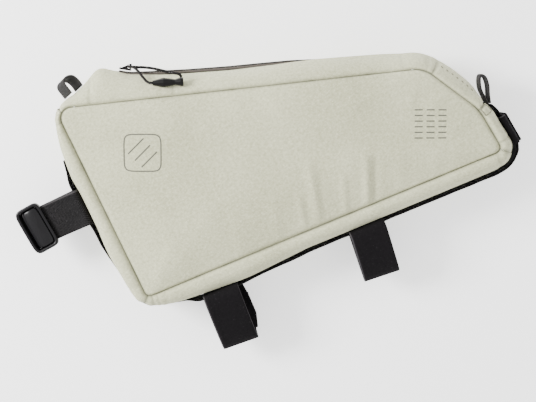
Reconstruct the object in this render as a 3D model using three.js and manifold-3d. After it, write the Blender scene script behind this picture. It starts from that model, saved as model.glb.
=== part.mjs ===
import * as THREE from "three";
import Module from "manifold-3d";
import { mergeVertices } from "three/addons/utils/BufferGeometryUtils.js";

const wasm = await Module();
wasm.setup();

// Bicycle frame bag, lying on its back panel, in millimetres.
// +X runs along the strap edge from the tall end to the narrow end, +Y from the strap edge
// to the zip, and +Z from the back panel to the front panel. The outline below is the front
// seam, with its origin at the seam's corner between the strap edge and the tall end.
// The finished group is moved so that the origin is the middle of the box's underside.

// Outline of the two panels
const STRAP_EDGE = 306;
const TALL_EDGE = 166;
const TALL_LEAN = 7.5;
const NARROW_EDGE = 37;
const NARROW_LEAN = 5.5;
const SHOULDER_RUN = 28.5;
const SHOULDER_RISE = 47;
const STRAP_CORNER_RADIUS = 5;
const NARROW_CORNER_RADIUS = 40;
const SHOULDER_RADIUS = 24;
const TALL_CORNER_RADIUS = 9;

// Thickness, from the floor up
const WALL = 1.8;
const GAP = 0.3;
const BACK_RISE = 6;
const SEAM_SPAN = 45;
const CROWN = 7.5;
const GUSSET_WIDTH = 25;
const ZIP_SLOT = 7;
const SIDE_ROLL = 1.4;
const TOP_ROLL = 0.9;
const SIDE_FULLNESS = 1;
const TOP_FULLNESS = 0.5;
const GUSSET_BULGE = 14;
const RIDGE_HEIGHT = 17;

// Trim
const KEEPER_WALL = 1.5;
const KEEPER_WIDTH = 24;
const KEEPER_SLACK = 0.9;
const ARCH_MARGIN = 1.5;
const ARCH_RAMP = 13;
const STRAP_WIDTH = 30;
const STRAP_WALL = 1.8;
const STRAP_REACH = 45;
const END_STRAP_WIDTH = 25;
const STRAP_1_AT = 54.5;
const STRAP_2_AT = 182.5;
const STRAP_3_AT = 9;
const WEBBING_WIDTH = 30;
const WEBBING_WALL = 1.6;
const BUCKLE_STRAP_AT = 75.5;
const BUCKLE_REACH = 41;
const BUCKLE_WIDTH = 39;
const BUCKLE_LENGTH = 22;
const BUCKLE_DEPTH = 9;
const BUCKLE_WALL = 3;
const BUCKLE_TURN = THREE.MathUtils.degToRad(4);
const BAR = 3;
const PLATE_LENGTH = 10.5;
const PLATE_WALL = 2.6;
const COIL_WIDTH = 5;
const COIL_HEIGHT = 1.3;
const SLIDER_LENGTH = 9;
const SLIDER_WIDTH = 8;
const SLIDER_HEIGHT = 5.6;
const BRIDGE_WIDTH = 2.4;
const PLATE_OF_SLIDER = 1.5;
const EYE_RADIUS = 1.45;
const EYE_WALL = 0.6;
const CORD_DIAMETER = 2.2;
const PULL_LENGTH = 24;
const PULL_RADIUS = 3.8;
const TAB_WIDTH = 14;
const TAB_SPAN = 12;
const TAB_HEIGHT = 12.5;
const TAB_TURN = THREE.MathUtils.degToRad(38);
const LOOP_WIDTH = 14;
const LOOP_LENGTH = 29;
const LOOP_SPREAD = 8.2;

// Along the top run, as shares of it: the coil's ends, the slider and the pull tab
const ZIP_STARTS = 0.06;
const ZIP_ENDS = 0.862;
const SLIDER_AT = 0.848;
const TAB_AT = 0.97;

const MIDDLE = BACK_RISE + SEAM_SPAN / 2;
const FRONT_SEAM = BACK_RISE + SEAM_SPAN;
const STATION_STEP = 42;
const LEAST_STEP = 1;
const ARC_TURN = THREE.MathUtils.degToRad(18);

const V2 = (x, y) => new THREE.Vector2(x, y);
const V3 = (x, y, z) => new THREE.Vector3(x, y, z);

// How far the sides of the bag bulge out of the seam, as shares of GUSSET_BULGE,
// and its zip ridge, as shares of RIDGE_HEIGHT. at: share of the run, counterclockwise.
const RUNS = {
  bottom: {
    from: 0, to: 1,
    rows: [
      { at: 0.0, out: 0.56 },
      { at: 0.03, out: 0.8 },
      { at: 0.07, out: 0.97 },
      { at: 0.12, out: 1.09 },
      { at: 0.24, out: 1.23 },
      { at: 0.27, out: 1.23 },
      { at: 0.33, out: 1.14 },
      { at: 0.44, out: 0.97 },
      { at: 0.56, out: 0.99 },
      { at: 0.7, out: 0.98 },
      { at: 0.9, out: 0.97 },
      { at: 0.975, out: 0.96 },
      { at: 1.0, out: 0.86 },
    ],
  },
  right: {
    from: 1, to: 2,
    rows: [
      { at: 0.0, out: 0.86 },
      { at: 0.06, out: 0.77 },
      { at: 0.5, out: 0.72 },
      { at: 0.8, out: 0.72 },
      { at: 1.0, out: 0.61 },
    ],
  },
  top: {
    from: 2, to: 4,
    rows: [
      { at: 0.0, out: 0.5 },
      { at: 0.034, out: 0.76 },
      { at: 0.06, out: 0.84 },
      { at: 0.1, out: 0.86 },
      { at: 0.15, out: 0.78 },
      { at: 0.2, out: 0.79 },
      { at: 0.25, out: 0.87 },
      { at: 0.34, out: 0.93 },
      { at: 0.46, out: 1.0 },
      { at: 0.6, out: 1.02 },
      { at: 0.7, out: 1.09 },
      { at: 0.79, out: 1.19 },
      { at: 0.836, out: 1.25 },
      { at: 0.88, out: 1.49 },
      { at: 0.9, out: 1.65 },
      { at: 0.912, out: 1.59 },
      { at: 0.925, out: 1.37 },
      { at: 0.935, out: 1.15 },
      { at: 0.95, out: 0.88 },
      { at: 0.976, out: 0.49 },
      { at: 0.988, out: 0.37 },
      { at: 1.0, out: 0.35 },
    ],
  },
  left: {
    from: 4, to: 5,
    rows: [
      { at: 0.0, out: 0.42 },
      { at: 0.03, out: 0.4 },
      { at: 0.07, out: 0.54 },
      { at: 0.157, out: 0.78 },
      { at: 0.25, out: 0.9 },
      { at: 0.32, out: 0.97 },
      { at: 0.4, out: 0.89 },
      { at: 0.59, out: 0.89 },
      { at: 0.68, out: 0.95 },
      { at: 0.745, out: 0.93 },
      { at: 0.88, out: 0.78 },
      { at: 0.94, out: 0.74 },
      { at: 1.0, out: 0.56 },
    ],
  },
};

// Closed outline with rounded corners, and the path position of each corner's middle
function roundedOutline(corners) {
  const path = new THREE.Path();
  const marks = [];
  const count = corners.length;
  let reached = 0;
  corners.forEach((corner, i) => {
    const before = corners[(i + count - 1) % count].at;
    const after = corners[(i + 1) % count].at;
    const into = corner.at.clone().sub(before).normalize();
    const away = after.clone().sub(corner.at).normalize();
    const turn = Math.acos(THREE.MathUtils.clamp(into.dot(away), -1, 1));
    const room = 0.47 * Math.min(corner.at.distanceTo(before), corner.at.distanceTo(after));
    const cut = Math.min(corner.radius * Math.tan(turn / 2), room);
    const radius = cut / Math.tan(turn / 2);
    const start = corner.at.clone().addScaledVector(into, -cut);
    const centre = start.clone().add(V2(-into.y, into.x).multiplyScalar(radius));
    const first = Math.atan2(start.y - centre.y, start.x - centre.x);
    if (i === 0) path.moveTo(start.x, start.y);
    else reached += path.currentPoint.distanceTo(start);
    path.absarc(centre.x, centre.y, radius, first, first + turn, false);
    const arc = radius * turn;
    marks.push({ from: reached, middle: reached + arc / 2, to: reached + arc, turn });
    reached += arc;
  });
  const closing = path.getPoint(0);
  reached += path.currentPoint.distanceTo(closing);
  path.lineTo(closing.x, closing.y);
  const { middle, to, turn } = marks[0];
  marks.push({ from: reached, middle: reached + middle, to: reached + to, turn });
  return { path, marks, length: reached };
}

const shoulder = V2(STRAP_EDGE - NARROW_LEAN - SHOULDER_RUN, NARROW_EDGE + SHOULDER_RISE);
const OUTLINE = roundedOutline([
  { at: V2(0, 0), radius: STRAP_CORNER_RADIUS },
  { at: V2(STRAP_EDGE, 0), radius: STRAP_CORNER_RADIUS },
  { at: V2(STRAP_EDGE - NARROW_LEAN, NARROW_EDGE), radius: NARROW_CORNER_RADIUS },
  { at: shoulder, radius: SHOULDER_RADIUS },
  { at: V2(-TALL_LEAN, TALL_EDGE), radius: TALL_CORNER_RADIUS },
]);

// Value of a column of a table at a share of its run, straight between rows
function fromTable(rows, at, column) {
  const after = Math.max(1, rows.findIndex((row) => row.at >= at - 1e-9));
  const a = rows[after - 1];
  const b = rows[after];
  const t = THREE.MathUtils.clamp((at - a.at) / (b.at - a.at), 0, 1);
  return THREE.MathUtils.lerp(a[column], b[column], t);
}

const runLength = (run) => OUTLINE.marks[run.to].middle - OUTLINE.marks[run.from].middle;

// One station of a run: its place along the outline, its point, outward normal and bulge
function stationAt(run, at) {
  const reached = OUTLINE.marks[run.from].middle + at * runLength(run);
  const u = (((reached / OUTLINE.length) % 1) + 1) % 1;
  const point = OUTLINE.path.getPointAt(u);
  const tangent = OUTLINE.path.getTangentAt(u);
  const scale = run === RUNS.top ? RIDGE_HEIGHT : GUSSET_BULGE;
  const out = scale * fromTable(run.rows, at, "out");
  return { at, reached, point, normal: V2(tangent.y, -tangent.x), out };
}

// Stations between two shares of a run: its table rows, its corners and even steps
function stations(run, start = 0, end = 1, extra = run.rows.map((row) => row.at)) {
  const length = runLength(run);
  const origin = OUTLINE.marks[run.from].middle;
  const wanted = [start, end, ...extra];
  for (const mark of OUTLINE.marks) {
    const arc = mark.to - mark.from;
    const steps = Math.max(1, Math.ceil(mark.turn / ARC_TURN));
    for (let k = 0; k <= steps; k++) wanted.push((mark.from + (arc * k) / steps - origin) / length);
  }
  const sorted = wanted.filter((at) => at >= start - 1e-9 && at <= end + 1e-9).sort((a, b) => a - b);
  const list = [start];
  for (const at of sorted) {
    const last = list[list.length - 1];
    if (at - last < LEAST_STEP / length) continue;
    const steps = Math.ceil(((at - last) * length) / STATION_STEP);
    for (let k = 1; k <= steps; k++) list.push(last + ((at - last) * k) / steps);
  }
  list[list.length - 1] = end;
  return list.map((at) => stationAt(run, at));
}

// Geometry of one closed body from corner points and triangles, turned to face outwards
function closedBody(points, triangles) {
  let volume = 0;
  for (const [a, b, c] of triangles) volume += points[a].dot(points[b].clone().cross(points[c]));
  const order = volume < 0 ? triangles.map(([a, b, c]) => [a, c, b]) : triangles;
  const geometry = new THREE.BufferGeometry();
  const numbers = points.flatMap((p) => p.toArray());
  geometry.setAttribute("position", new THREE.Float32BufferAttribute(numbers, 3));
  geometry.setIndex(order.flat());
  return geometry;
}

// Fabric wall whose section, an outer and an inner line of points, is carried along stations
function loftedWall(sections) {
  const points = [];
  const triangles = [];
  const quad = (a, b, c, d) => triangles.push([a, b, c], [a, c, d]);
  const half = sections[0].outer.length;
  for (const { outer, inner } of sections) points.push(...outer, ...[...inner].reverse());
  const ring = 2 * half;
  for (let i = 0; i + 1 < sections.length; i++) {
    for (let j = 0; j < ring; j++) {
      const k = (j + 1) % ring;
      quad(i * ring + j, i * ring + k, (i + 1) * ring + k, (i + 1) * ring + j);
    }
  }
  const last = (sections.length - 1) * ring;
  for (let j = 0; j + 1 < half; j++) {
    quad(j, ring - 1 - j, ring - 2 - j, j + 1);
    quad(last + j, last + j + 1, last + ring - 2 - j, last + ring - 1 - j);
  }
  return closedBody(points, triangles);
}

// Border strip: a roll from the seam out to the gusset or the zip, in front or at the back.
// Its section is part quarter ellipse and part straight slope, by fullness.
function borderStrip(list, { edge, fullness, roll, back }) {
  const steps = 6;
  const side = back ? -1 : 1;
  const rise = SEAM_SPAN / 2 - edge;
  const line = ({ point, normal, out }, wall) => {
    const made = [];
    for (let k = 0; k <= steps; k++) {
      const t = k / steps;
      const angle = (t * Math.PI) / 2;
      const reach = out - wall;
      const o = reach * THREE.MathUtils.lerp(t, Math.sin(angle), fullness);
      const lift = roll * Math.sin(Math.PI * Math.min(1, t / 0.7));
      const up = (rise - wall) * THREE.MathUtils.lerp(1 - t, Math.cos(angle), fullness);
      const z = MIDDLE + side * (edge + up + lift);
      made.push(V3(point.x + normal.x * o, point.y + normal.y * o, z));
    }
    return made;
  };
  return loftedWall(list.map((s) => ({ outer: line(s, 0), inner: line(s, WALL) })));
}

// Upright strip that follows the stations between two offsets, from z0 to z1
function uprightStrip(list, inner, outer, z0, z1) {
  const at = ({ point, normal }, o, z) => V3(point.x + normal.x * o, point.y + normal.y * o, z);
  return loftedWall(list.map((s) => ({
    outer: [at(s, outer(s), z0), at(s, outer(s), z1)],
    inner: [at(s, inner(s), z0), at(s, inner(s), z1)],
  })));
}

// Panel: rings from the seam in to a middle point, each at its own height, one wall thick
const PANEL_RINGS = [0.3, 0.56, 0.76, 0.9, 0.965, 1];
function panel(height, back) {
  const rim = Object.values(RUNS).flatMap((run) => stations(run, 0, 1, []).slice(0, -1));
  const centre = V2(0.41 * STRAP_EDGE, 0.42 * TALL_EDGE);
  const inwards = back ? 1 : -1;
  const points = [];
  for (const layer of [0, inwards * WALL]) {
    points.push(V3(centre.x, centre.y, height(0) + layer));
    for (const share of PANEL_RINGS) {
      for (const { point, normal } of rim) {
        const edge = point.clone().addScaledVector(normal, -GAP);
        const p = centre.clone().lerp(edge, share);
        points.push(V3(p.x, p.y, height(share) + layer));
      }
    }
  }
  const n = rim.length;
  const layerSize = 1 + n * PANEL_RINGS.length;
  const triangles = [];
  for (let layer = 0; layer < 2; layer++) {
    const base = layer * layerSize;
    const add = (a, b, c) => triangles.push(layer === 0 ? [base + a, base + b, base + c]
      : [base + a, base + c, base + b]);
    for (let j = 0; j < n; j++) {
      const k = (j + 1) % n;
      add(0, 1 + j, 1 + k);
      for (let r = 0; r + 1 < PANEL_RINGS.length; r++) {
        add(1 + r * n + j, 1 + (r + 1) * n + j, 1 + (r + 1) * n + k);
        add(1 + r * n + j, 1 + (r + 1) * n + k, 1 + r * n + k);
      }
    }
  }
  const outer = 1 + (PANEL_RINGS.length - 1) * n;
  for (let j = 0; j < n; j++) {
    const k = (j + 1) % n;
    triangles.push([outer + j, layerSize + outer + j, layerSize + outer + k]);
    triangles.push([outer + j, layerSize + outer + k, outer + k]);
  }
  return closedBody(points, triangles);
}

const frontHeight = (share) => FRONT_SEAM + CROWN * (1 - share ** 3);
const FLAT_SHARE = PANEL_RINGS[3];
const backHeight = (share) => {
  const t = Math.max(0, (share - FLAT_SHARE) / (1 - FLAT_SHARE));
  return BACK_RISE * t * t;
};

// Flat strip whose middle line is a smooth curve in a plane, cut square at both ends.
// across, up and the line's own plane give its place: point = origin + a * across + b * up.
function bentStrip(rows, thickness, width, { origin, across, up }, samples) {
  const curve = new THREE.SplineCurve(rows);
  const left = [];
  const right = [];
  for (let k = 0; k <= samples; k++) {
    const p = curve.getPointAt(k / samples);
    const t = curve.getTangentAt(k / samples);
    const side = V2(-t.y, t.x).multiplyScalar(thickness / 2);
    left.push(p.clone().add(side));
    right.push(p.clone().sub(side));
  }
  const along = across.clone().cross(up);
  const place = (p, w) => origin.clone().addScaledVector(across, p.x).addScaledVector(up, p.y)
    .addScaledVector(along, w);
  const sections = left.map((p, k) => ({
    outer: [place(p, -width / 2), place(p, width / 2)],
    inner: [place(right[k], -width / 2), place(right[k], width / 2)],
  }));
  return loftedWall(sections);
}

const solidOf = (geometry) => {
  const bare = geometry.clone();
  bare.deleteAttribute("normal");
  bare.deleteAttribute("uv");
  const merged = mergeVertices(bare, 1e-4);
  return new wasm.Manifold(new wasm.Mesh({
    numProp: 3,
    vertProperties: new Float32Array(merged.attributes.position.array),
    triVerts: new Uint32Array(merged.index.array),
  }));
};

const geometryOf = (solid) => {
  const { vertProperties, triVerts } = solid.getMesh();
  const geometry = new THREE.BufferGeometry();
  geometry.setAttribute("position", new THREE.BufferAttribute(new Float32Array(vertProperties), 3));
  geometry.setIndex(new THREE.BufferAttribute(new Uint32Array(triVerts), 1));
  return geometry;
};

const joined = (parts) => geometryOf(parts.map(solidOf).reduce((all, one) => all.add(one)));

const finish = (color, roughness) => ({ color, roughness, metalness: 0 });
const SHELL = finish(0xcacabd, 0.85);
const WEBBING = finish(0x2e2c2d, 0.8);
const FASTENER = finish(0x242223, 0.95);
const MOULDED = finish(0x414042, 0.45);
const TAPE = finish(0x7a796f, 0.7);

const bag = new THREE.Group();
const cordNodes = new Set(["pull_cord", "pull_end"]);
function add(name, geometry, look) {
  const mesh = new THREE.Mesh(geometry, new THREE.MeshStandardMaterial(look));
  mesh.name = name;
  bag.add(mesh);
}

// Panels and the border strips between them and the gusset
add("front_panel", panel(frontHeight, false), SHELL);
add("back_panel", panel(backHeight, true), SHELL);

const END_CUT = GAP / 2;
const cutAt = (run) => END_CUT / runLength(run);
for (const [name, run] of Object.entries(RUNS)) {
  const list = stations(run, cutAt(run), 1 - cutAt(run));
  const top = run === RUNS.top;
  const shape = {
    edge: top ? ZIP_SLOT / 2 : GUSSET_WIDTH / 2,
    fullness: top ? TOP_FULLNESS : SIDE_FULLNESS,
    roll: top ? TOP_ROLL : SIDE_ROLL,
  };
  add(`front_strip_${name}`, borderStrip(list, { ...shape, back: false }), SHELL);
  add(`back_strip_${name}`, borderStrip(list, { ...shape, back: true }), SHELL);
}

// Dark gusset and the keeper webbing that is sewn along it
const gussetHalf = GUSSET_WIDTH / 2 - GAP;
const KEEPER_ENDS = { bottom: [0, 1], right: [0, 0.84], left: [0.22, 1] };

// Where straps pass under the keeper: their middle along the run, in mm from its start
const PASSES = {
  strap_1: { run: RUNS.bottom, at: STRAP_1_AT, width: STRAP_WIDTH, wall: STRAP_WALL },
  strap_2: { run: RUNS.bottom, at: STRAP_2_AT, width: STRAP_WIDTH, wall: STRAP_WALL },
  strap_3: { run: RUNS.right, at: STRAP_3_AT, width: END_STRAP_WIDTH, wall: STRAP_WALL },
  buckle_strap: { run: RUNS.left, at: BUCKLE_STRAP_AT, width: WEBBING_WIDTH, wall: WEBBING_WALL },
};

// Seat of a strap: the place on the seam, the frame of its loop, and the faces under and over it
function seatOf({ run, at, width, wall }) {
  const length = runLength(run);
  const { point, normal } = stationAt(run, at / length);
  let under = 0;
  for (let k = -4; k <= 4; k++) {
    const s = stationAt(run, (at + (k * width) / 8) / length);
    const off = s.point.clone().addScaledVector(s.normal, s.out).sub(point).dot(normal);
    under = Math.max(under, off);
  }
  return {
    under: under + GAP,
    over: under + GAP + wall,
    frame: { origin: V3(point.x, point.y, MIDDLE), across: V3(normal.x, normal.y, 0), up: V3(0, 0, 1) },
  };
}

// Inner face of the keeper at a station: near the gusset, and arched over each strap
function keeperFace({ reached, point, normal, out }) {
  const rest = out + GAP + KEEPER_SLACK;
  let face = rest;
  for (const pass of Object.values(PASSES)) {
    const middle = OUTLINE.marks[pass.run.from].middle + pass.at;
    const beyond = Math.abs(reached - middle) - pass.width / 2 - ARCH_MARGIN;
    const t = 1 - THREE.MathUtils.clamp(beyond / ARCH_RAMP, 0, 1);
    const { frame, over } = seatOf(pass);
    const { x, y } = frame.across;
    const facing = normal.x * x + normal.y * y;
    if (t === 0 || facing < 0.7) continue;
    const lean = (point.x - frame.origin.x) * x + (point.y - frame.origin.y) * y;
    const arch = (over + GAP - lean) / facing;
    face = Math.max(face, THREE.MathUtils.lerp(rest, arch, t));
  }
  return face;
}
for (const [name, [start, end]] of Object.entries(KEEPER_ENDS)) {
  const run = RUNS[name];
  const cut = cutAt(run);
  const whole = stations(run, cut, 1 - cut);
  add(`gusset_${name}`, uprightStrip(whole, (s) => s.out - WALL, (s) => s.out,
    MIDDLE - gussetHalf, MIDDLE + gussetHalf), WEBBING);
  const arches = Object.values(PASSES).filter((pass) => pass.run === run).flatMap((pass) => {
    const half = pass.width / 2 + ARCH_MARGIN;
    return [-half - ARCH_RAMP, -half, half, half + ARCH_RAMP].map((d) => (pass.at + d) / runLength(run));
  });
  const rows = run.rows.map((row) => row.at);
  const sewn = stations(run, Math.max(start, cut), Math.min(end, 1 - cut), [...rows, ...arches]);
  add(`keeper_${name}`, uprightStrip(sewn, keeperFace, (s) => keeperFace(s) + KEEPER_WALL,
    MIDDLE - KEEPER_WIDTH / 2, MIDDLE + KEEPER_WIDTH / 2), WEBBING);
}

// Zip along the ridge, with a fabric cap over its end at the tall side
const zipHalf = ZIP_SLOT / 2 - GAP;
const topCut = cutAt(RUNS.top);
const onRidge = (start, end) => stations(RUNS.top, start, end);
add("zip_tape", uprightStrip(onRidge(topCut, ZIP_ENDS - topCut), (s) => s.out - WALL, (s) => s.out,
  MIDDLE - zipHalf, MIDDLE + zipHalf), TAPE);
add("zip_end_cap", uprightStrip(onRidge(ZIP_ENDS + topCut, 1 - topCut), (s) => s.out - WALL,
  (s) => s.out, MIDDLE - zipHalf, MIDDLE + zipHalf), SHELL);
add("zip_coil", uprightStrip(onRidge(ZIP_STARTS, ZIP_ENDS - topCut), (s) => s.out + GAP,
  (s) => s.out + GAP + COIL_HEIGHT, MIDDLE - COIL_WIDTH / 2, MIDDLE + COIL_WIDTH / 2), TAPE);

// A seat on the ridge for a piece of some length: its point, lifted over the highest of the
// ridge under the piece, the way along it to the tall end, and the way out of it
function ridgeSeat(at, lift, length) {
  const span = runLength(RUNS.top);
  const spot = (mm) => {
    const { point, normal, out } = stationAt(RUNS.top, Math.min(1, at + mm / span));
    return V3(point.x + normal.x * out, point.y + normal.y * out, MIDDLE);
  };
  const along = spot(length / 4).sub(spot(-length / 4)).normalize();
  const outward = V3(along.y, -along.x, 0);
  const point = spot(0);
  let highest = 0;
  for (let k = -6; k <= 6; k++) {
    highest = Math.max(highest, spot((k * length) / 12).sub(point).dot(outward));
  }
  return { point: point.addScaledVector(outward, highest + lift), along, outward };
}

// Slider: a plate on the coil and a wedge-shaped bridge with an eye for the cord
function slider() {
  const plate = new THREE.BoxGeometry(SLIDER_LENGTH, PLATE_OF_SLIDER, SLIDER_WIDTH);
  plate.translate(0, PLATE_OF_SLIDER / 2, 0);
  const side = new THREE.Shape([
    V2(SLIDER_LENGTH / 2, PLATE_OF_SLIDER / 2),
    V2(-SLIDER_LENGTH / 2, PLATE_OF_SLIDER / 2),
    V2(-SLIDER_LENGTH / 2, SLIDER_HEIGHT),
    V2(-SLIDER_LENGTH * 0.4, SLIDER_HEIGHT),
  ].reverse());
  const eye = new THREE.Path();
  eye.absarc(EYE_WALL + EYE_RADIUS - SLIDER_LENGTH / 2, PLATE_OF_SLIDER + EYE_RADIUS, EYE_RADIUS,
    0, 2 * Math.PI, true);
  side.holes.push(eye);
  const bridge = new THREE.ExtrudeGeometry(side,
    { depth: BRIDGE_WIDTH, bevelEnabled: false, curveSegments: 8 });
  bridge.translate(0, 0, -BRIDGE_WIDTH / 2);
  return joined([plate, bridge]);
}
const sliderSeat = ridgeSeat(SLIDER_AT, 2 * GAP + COIL_HEIGHT, SLIDER_LENGTH);
const sliderGeometry = slider();
sliderGeometry.applyMatrix4(new THREE.Matrix4().makeBasis(sliderSeat.along, sliderSeat.outward,
  sliderSeat.along.clone().cross(sliderSeat.outward)).setPosition(sliderSeat.point));
add("zip_slider", sliderGeometry, MOULDED);

// Cord loop through the slider's eye, lying over the zip onto the front strip, with both of
// its ends in the moulded pull. Its points run from the pull's nose to the side of its tail.
const CORD_ROUTE = [
  [70.9, 155.1, 50.6],
  [68.8, 156.2, 49.9],
  [67.1, 158.3, 47.9],
  [65.9, 161.1, 45.0],
  [64.8, 164.2, 41.8],
  [63.6, 167.5, 38.4],
  [62.2, 170.6, 35.0],
  [60.4, 172.9, 32.9],
  [57.9, 174.3, 31.5],
  [56.8, 174.9, 28.5],
  [57.9, 174.3, 25.4],
  [60.6, 173.0, 24.2],
  [64.2, 171.3, 25.8],
  [68.4, 169.4, 29.4],
  [72.6, 167.2, 34.0],
  [77.0, 164.5, 38.7],
  [81.4, 161.4, 43.0],
  [85.6, 158.4, 46.8],
  [89.4, 156.0, 50.0],
  [92.4, 154.1, 52.2],
  [93.7, 152.4, 52.8],
  [93.9, 150.9, 52.5],
];
const PULL_NOSE = V3(71.2, 155.0, 50.6);
const PULL_WAY = V3(22.6, -8.2, 0.2).normalize();
const route = new THREE.CatmullRomCurve3(CORD_ROUTE.map(([x, y, z]) => V3(x, y, z)));
const round = new THREE.Shape();
round.absarc(0, 0, CORD_DIAMETER / 2, 0, 2 * Math.PI);
add("pull_cord", new THREE.ExtrudeGeometry(round,
  { steps: 36, extrudePath: route, curveSegments: 4 }), WEBBING);

// Moulded pull: at is the share of its length from the nose, wide the share of its radius
const PULL_ROWS = [
  { at: 0, wide: 0 },
  { at: 0, wide: 0.5 },
  { at: 0.36, wide: 1 },
  { at: 0.74, wide: 0.6 },
  { at: 0.92, wide: 0.95 },
  { at: 1, wide: 0.9 },
  { at: 1, wide: 0 },
];
const pull = new THREE.LatheGeometry(
  PULL_ROWS.map(({ at, wide }) => V2(wide * PULL_RADIUS, at * PULL_LENGTH)), 8);
pull.applyQuaternion(new THREE.Quaternion().setFromUnitVectors(V3(0, 1, 0), PULL_WAY));
pull.translate(PULL_NOSE.x, PULL_NOSE.y, PULL_NOSE.z);
add("pull_end", pull, MOULDED);

// Hook-and-loop strap: through the keeper, out and round a frame tube, closed on itself.
// out: share of the reach. up: share of the half depth of the seams. layers: 1 for the lap.
const STRAP_ROWS = [
  { out: 0.3, up: -0.66, layers: 1 },
  { out: 0.58, up: -0.47, layers: 1 },
  { out: 0.88, up: -0.22, layers: 1 },
  { out: 0.985, up: -0.06, layers: 0.6 },
  { out: 0.97, up: 0.12, layers: 0.3 },
  { out: 0.84, up: 0.3, layers: 0 },
  { out: 0.55, up: 0.55, layers: 0 },
  { out: 0.24, up: 0.75, layers: 0 },
  { out: 0.1, up: 0.78, layers: 0 },
  { out: 0.015, up: 0.66, layers: 0 },
  { out: 0.0, up: 0.4, layers: 0 },
  { out: 0.0, up: 0.0, layers: 0 },
  { out: 0.0, up: -0.4, layers: 0 },
  { out: 0.015, up: -0.66, layers: 0 },
  { out: 0.1, up: -0.76, layers: 0 },
  { out: 0.3, up: -0.66, layers: 0 },
  { out: 0.58, up: -0.47, layers: 0 },
  { out: 0.86, up: -0.23, layers: 0 },
];
function hookAndLoopStrap(pass) {
  const seat = seatOf(pass);
  const rows = STRAP_ROWS.map(({ out, up, layers }) => V2(
    seat.under + STRAP_WALL / 2 + out * STRAP_REACH,
    (up * SEAM_SPAN) / 2 - layers * (STRAP_WALL + GAP)));
  return bentStrip(rows, STRAP_WALL, STRAP_WIDTH, seat.frame, 38);
}
add("strap_1", hookAndLoopStrap(PASSES.strap_1), FASTENER);
add("strap_2", hookAndLoopStrap(PASSES.strap_2), FASTENER);

// Third strap, closed flat round the keeper at the narrow end.
// layer: strap layers outside the keeper. up: share of the half depth of the seams.
const END_STRAP_ROWS = [
  { layer: 2, up: 0.42 },
  { layer: 2, up: 0.0 },
  { layer: 2, up: -0.42 },
  { layer: 1.6, up: -0.66 },
  { layer: 0.4, up: -0.78 },
  { layer: -0.7, up: -0.64 },
  { layer: -1, up: -0.3 },
  { layer: -1, up: 0.3 },
  { layer: -0.8, up: 0.62 },
  { layer: 0, up: 0.74 },
  { layer: 0.85, up: 0.6 },
  { layer: 1, up: 0.3 },
  { layer: 1, up: -0.4 },
];
function endStrap(pass) {
  const seat = seatOf(pass);
  const inside = seat.under + STRAP_WALL / 2;
  const outside = seat.over + GAP + KEEPER_WALL + GAP + STRAP_WALL / 2;
  const place = (layer) => (layer < 1 ? THREE.MathUtils.lerp(inside, outside, (layer + 1) / 2)
    : outside + (layer - 1) * (STRAP_WALL + GAP));
  const rows = END_STRAP_ROWS.map(({ layer, up }) => V2(place(layer), (up * SEAM_SPAN) / 2));
  return bentStrip(rows, STRAP_WALL, END_STRAP_WIDTH, seat.frame, 30);
}
add("strap_3", endStrap(PASSES.strap_3), FASTENER);

// Webbing strap with a ladder-lock buckle, through the keeper at the tall end
const buckleSeat = seatOf(PASSES.buckle_strap);
const webbingFace = buckleSeat.under + WEBBING_WALL / 2;
const buckleMiddle = webbingFace + BUCKLE_REACH + BUCKLE_LENGTH / 8;
const BUCKLE_LIFT = 3;
const UNDER_BAR = BUCKLE_LIFT + BUCKLE_DEPTH / 2 - BAR - GAP - WEBBING_WALL / 2;
const FOLD = WEBBING_WALL + GAP;
const WEBBING_ROWS = [
  { out: 0.5, up: UNDER_BAR - 2 * FOLD - 0.5 },
  { out: 0.86, up: UNDER_BAR - 2 * FOLD - 0.7 },
  { out: 1.1, up: UNDER_BAR - 2 * FOLD - 0.4 },
  { out: 1.21, up: UNDER_BAR - FOLD },
  { out: 1.1, up: UNDER_BAR },
  { out: 0.92, up: UNDER_BAR },
  { out: 0.74, up: UNDER_BAR },
  { out: 0.42, up: UNDER_BAR + 4 },
  { out: 0.18, up: UNDER_BAR + 9.6 },
  { out: 0.06, up: 15.8 },
  { out: 0.0, up: 12.4 },
  { out: 0.0, up: 0 },
  { out: 0.0, up: -12.4 },
  { out: 0.06, up: -15.8 },
  { out: 0.18, up: -14.4 },
  { out: 0.5, up: -9 },
  { out: 0.95, up: -6.2 },
  { out: 1.25, up: -5 },
];
add("buckle_strap", bentStrip(
  WEBBING_ROWS.map(({ out, up }) => V2(webbingFace + out * BUCKLE_REACH, up)),
  WEBBING_WALL, WEBBING_WIDTH, buckleSeat.frame, 46), WEBBING);

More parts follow.
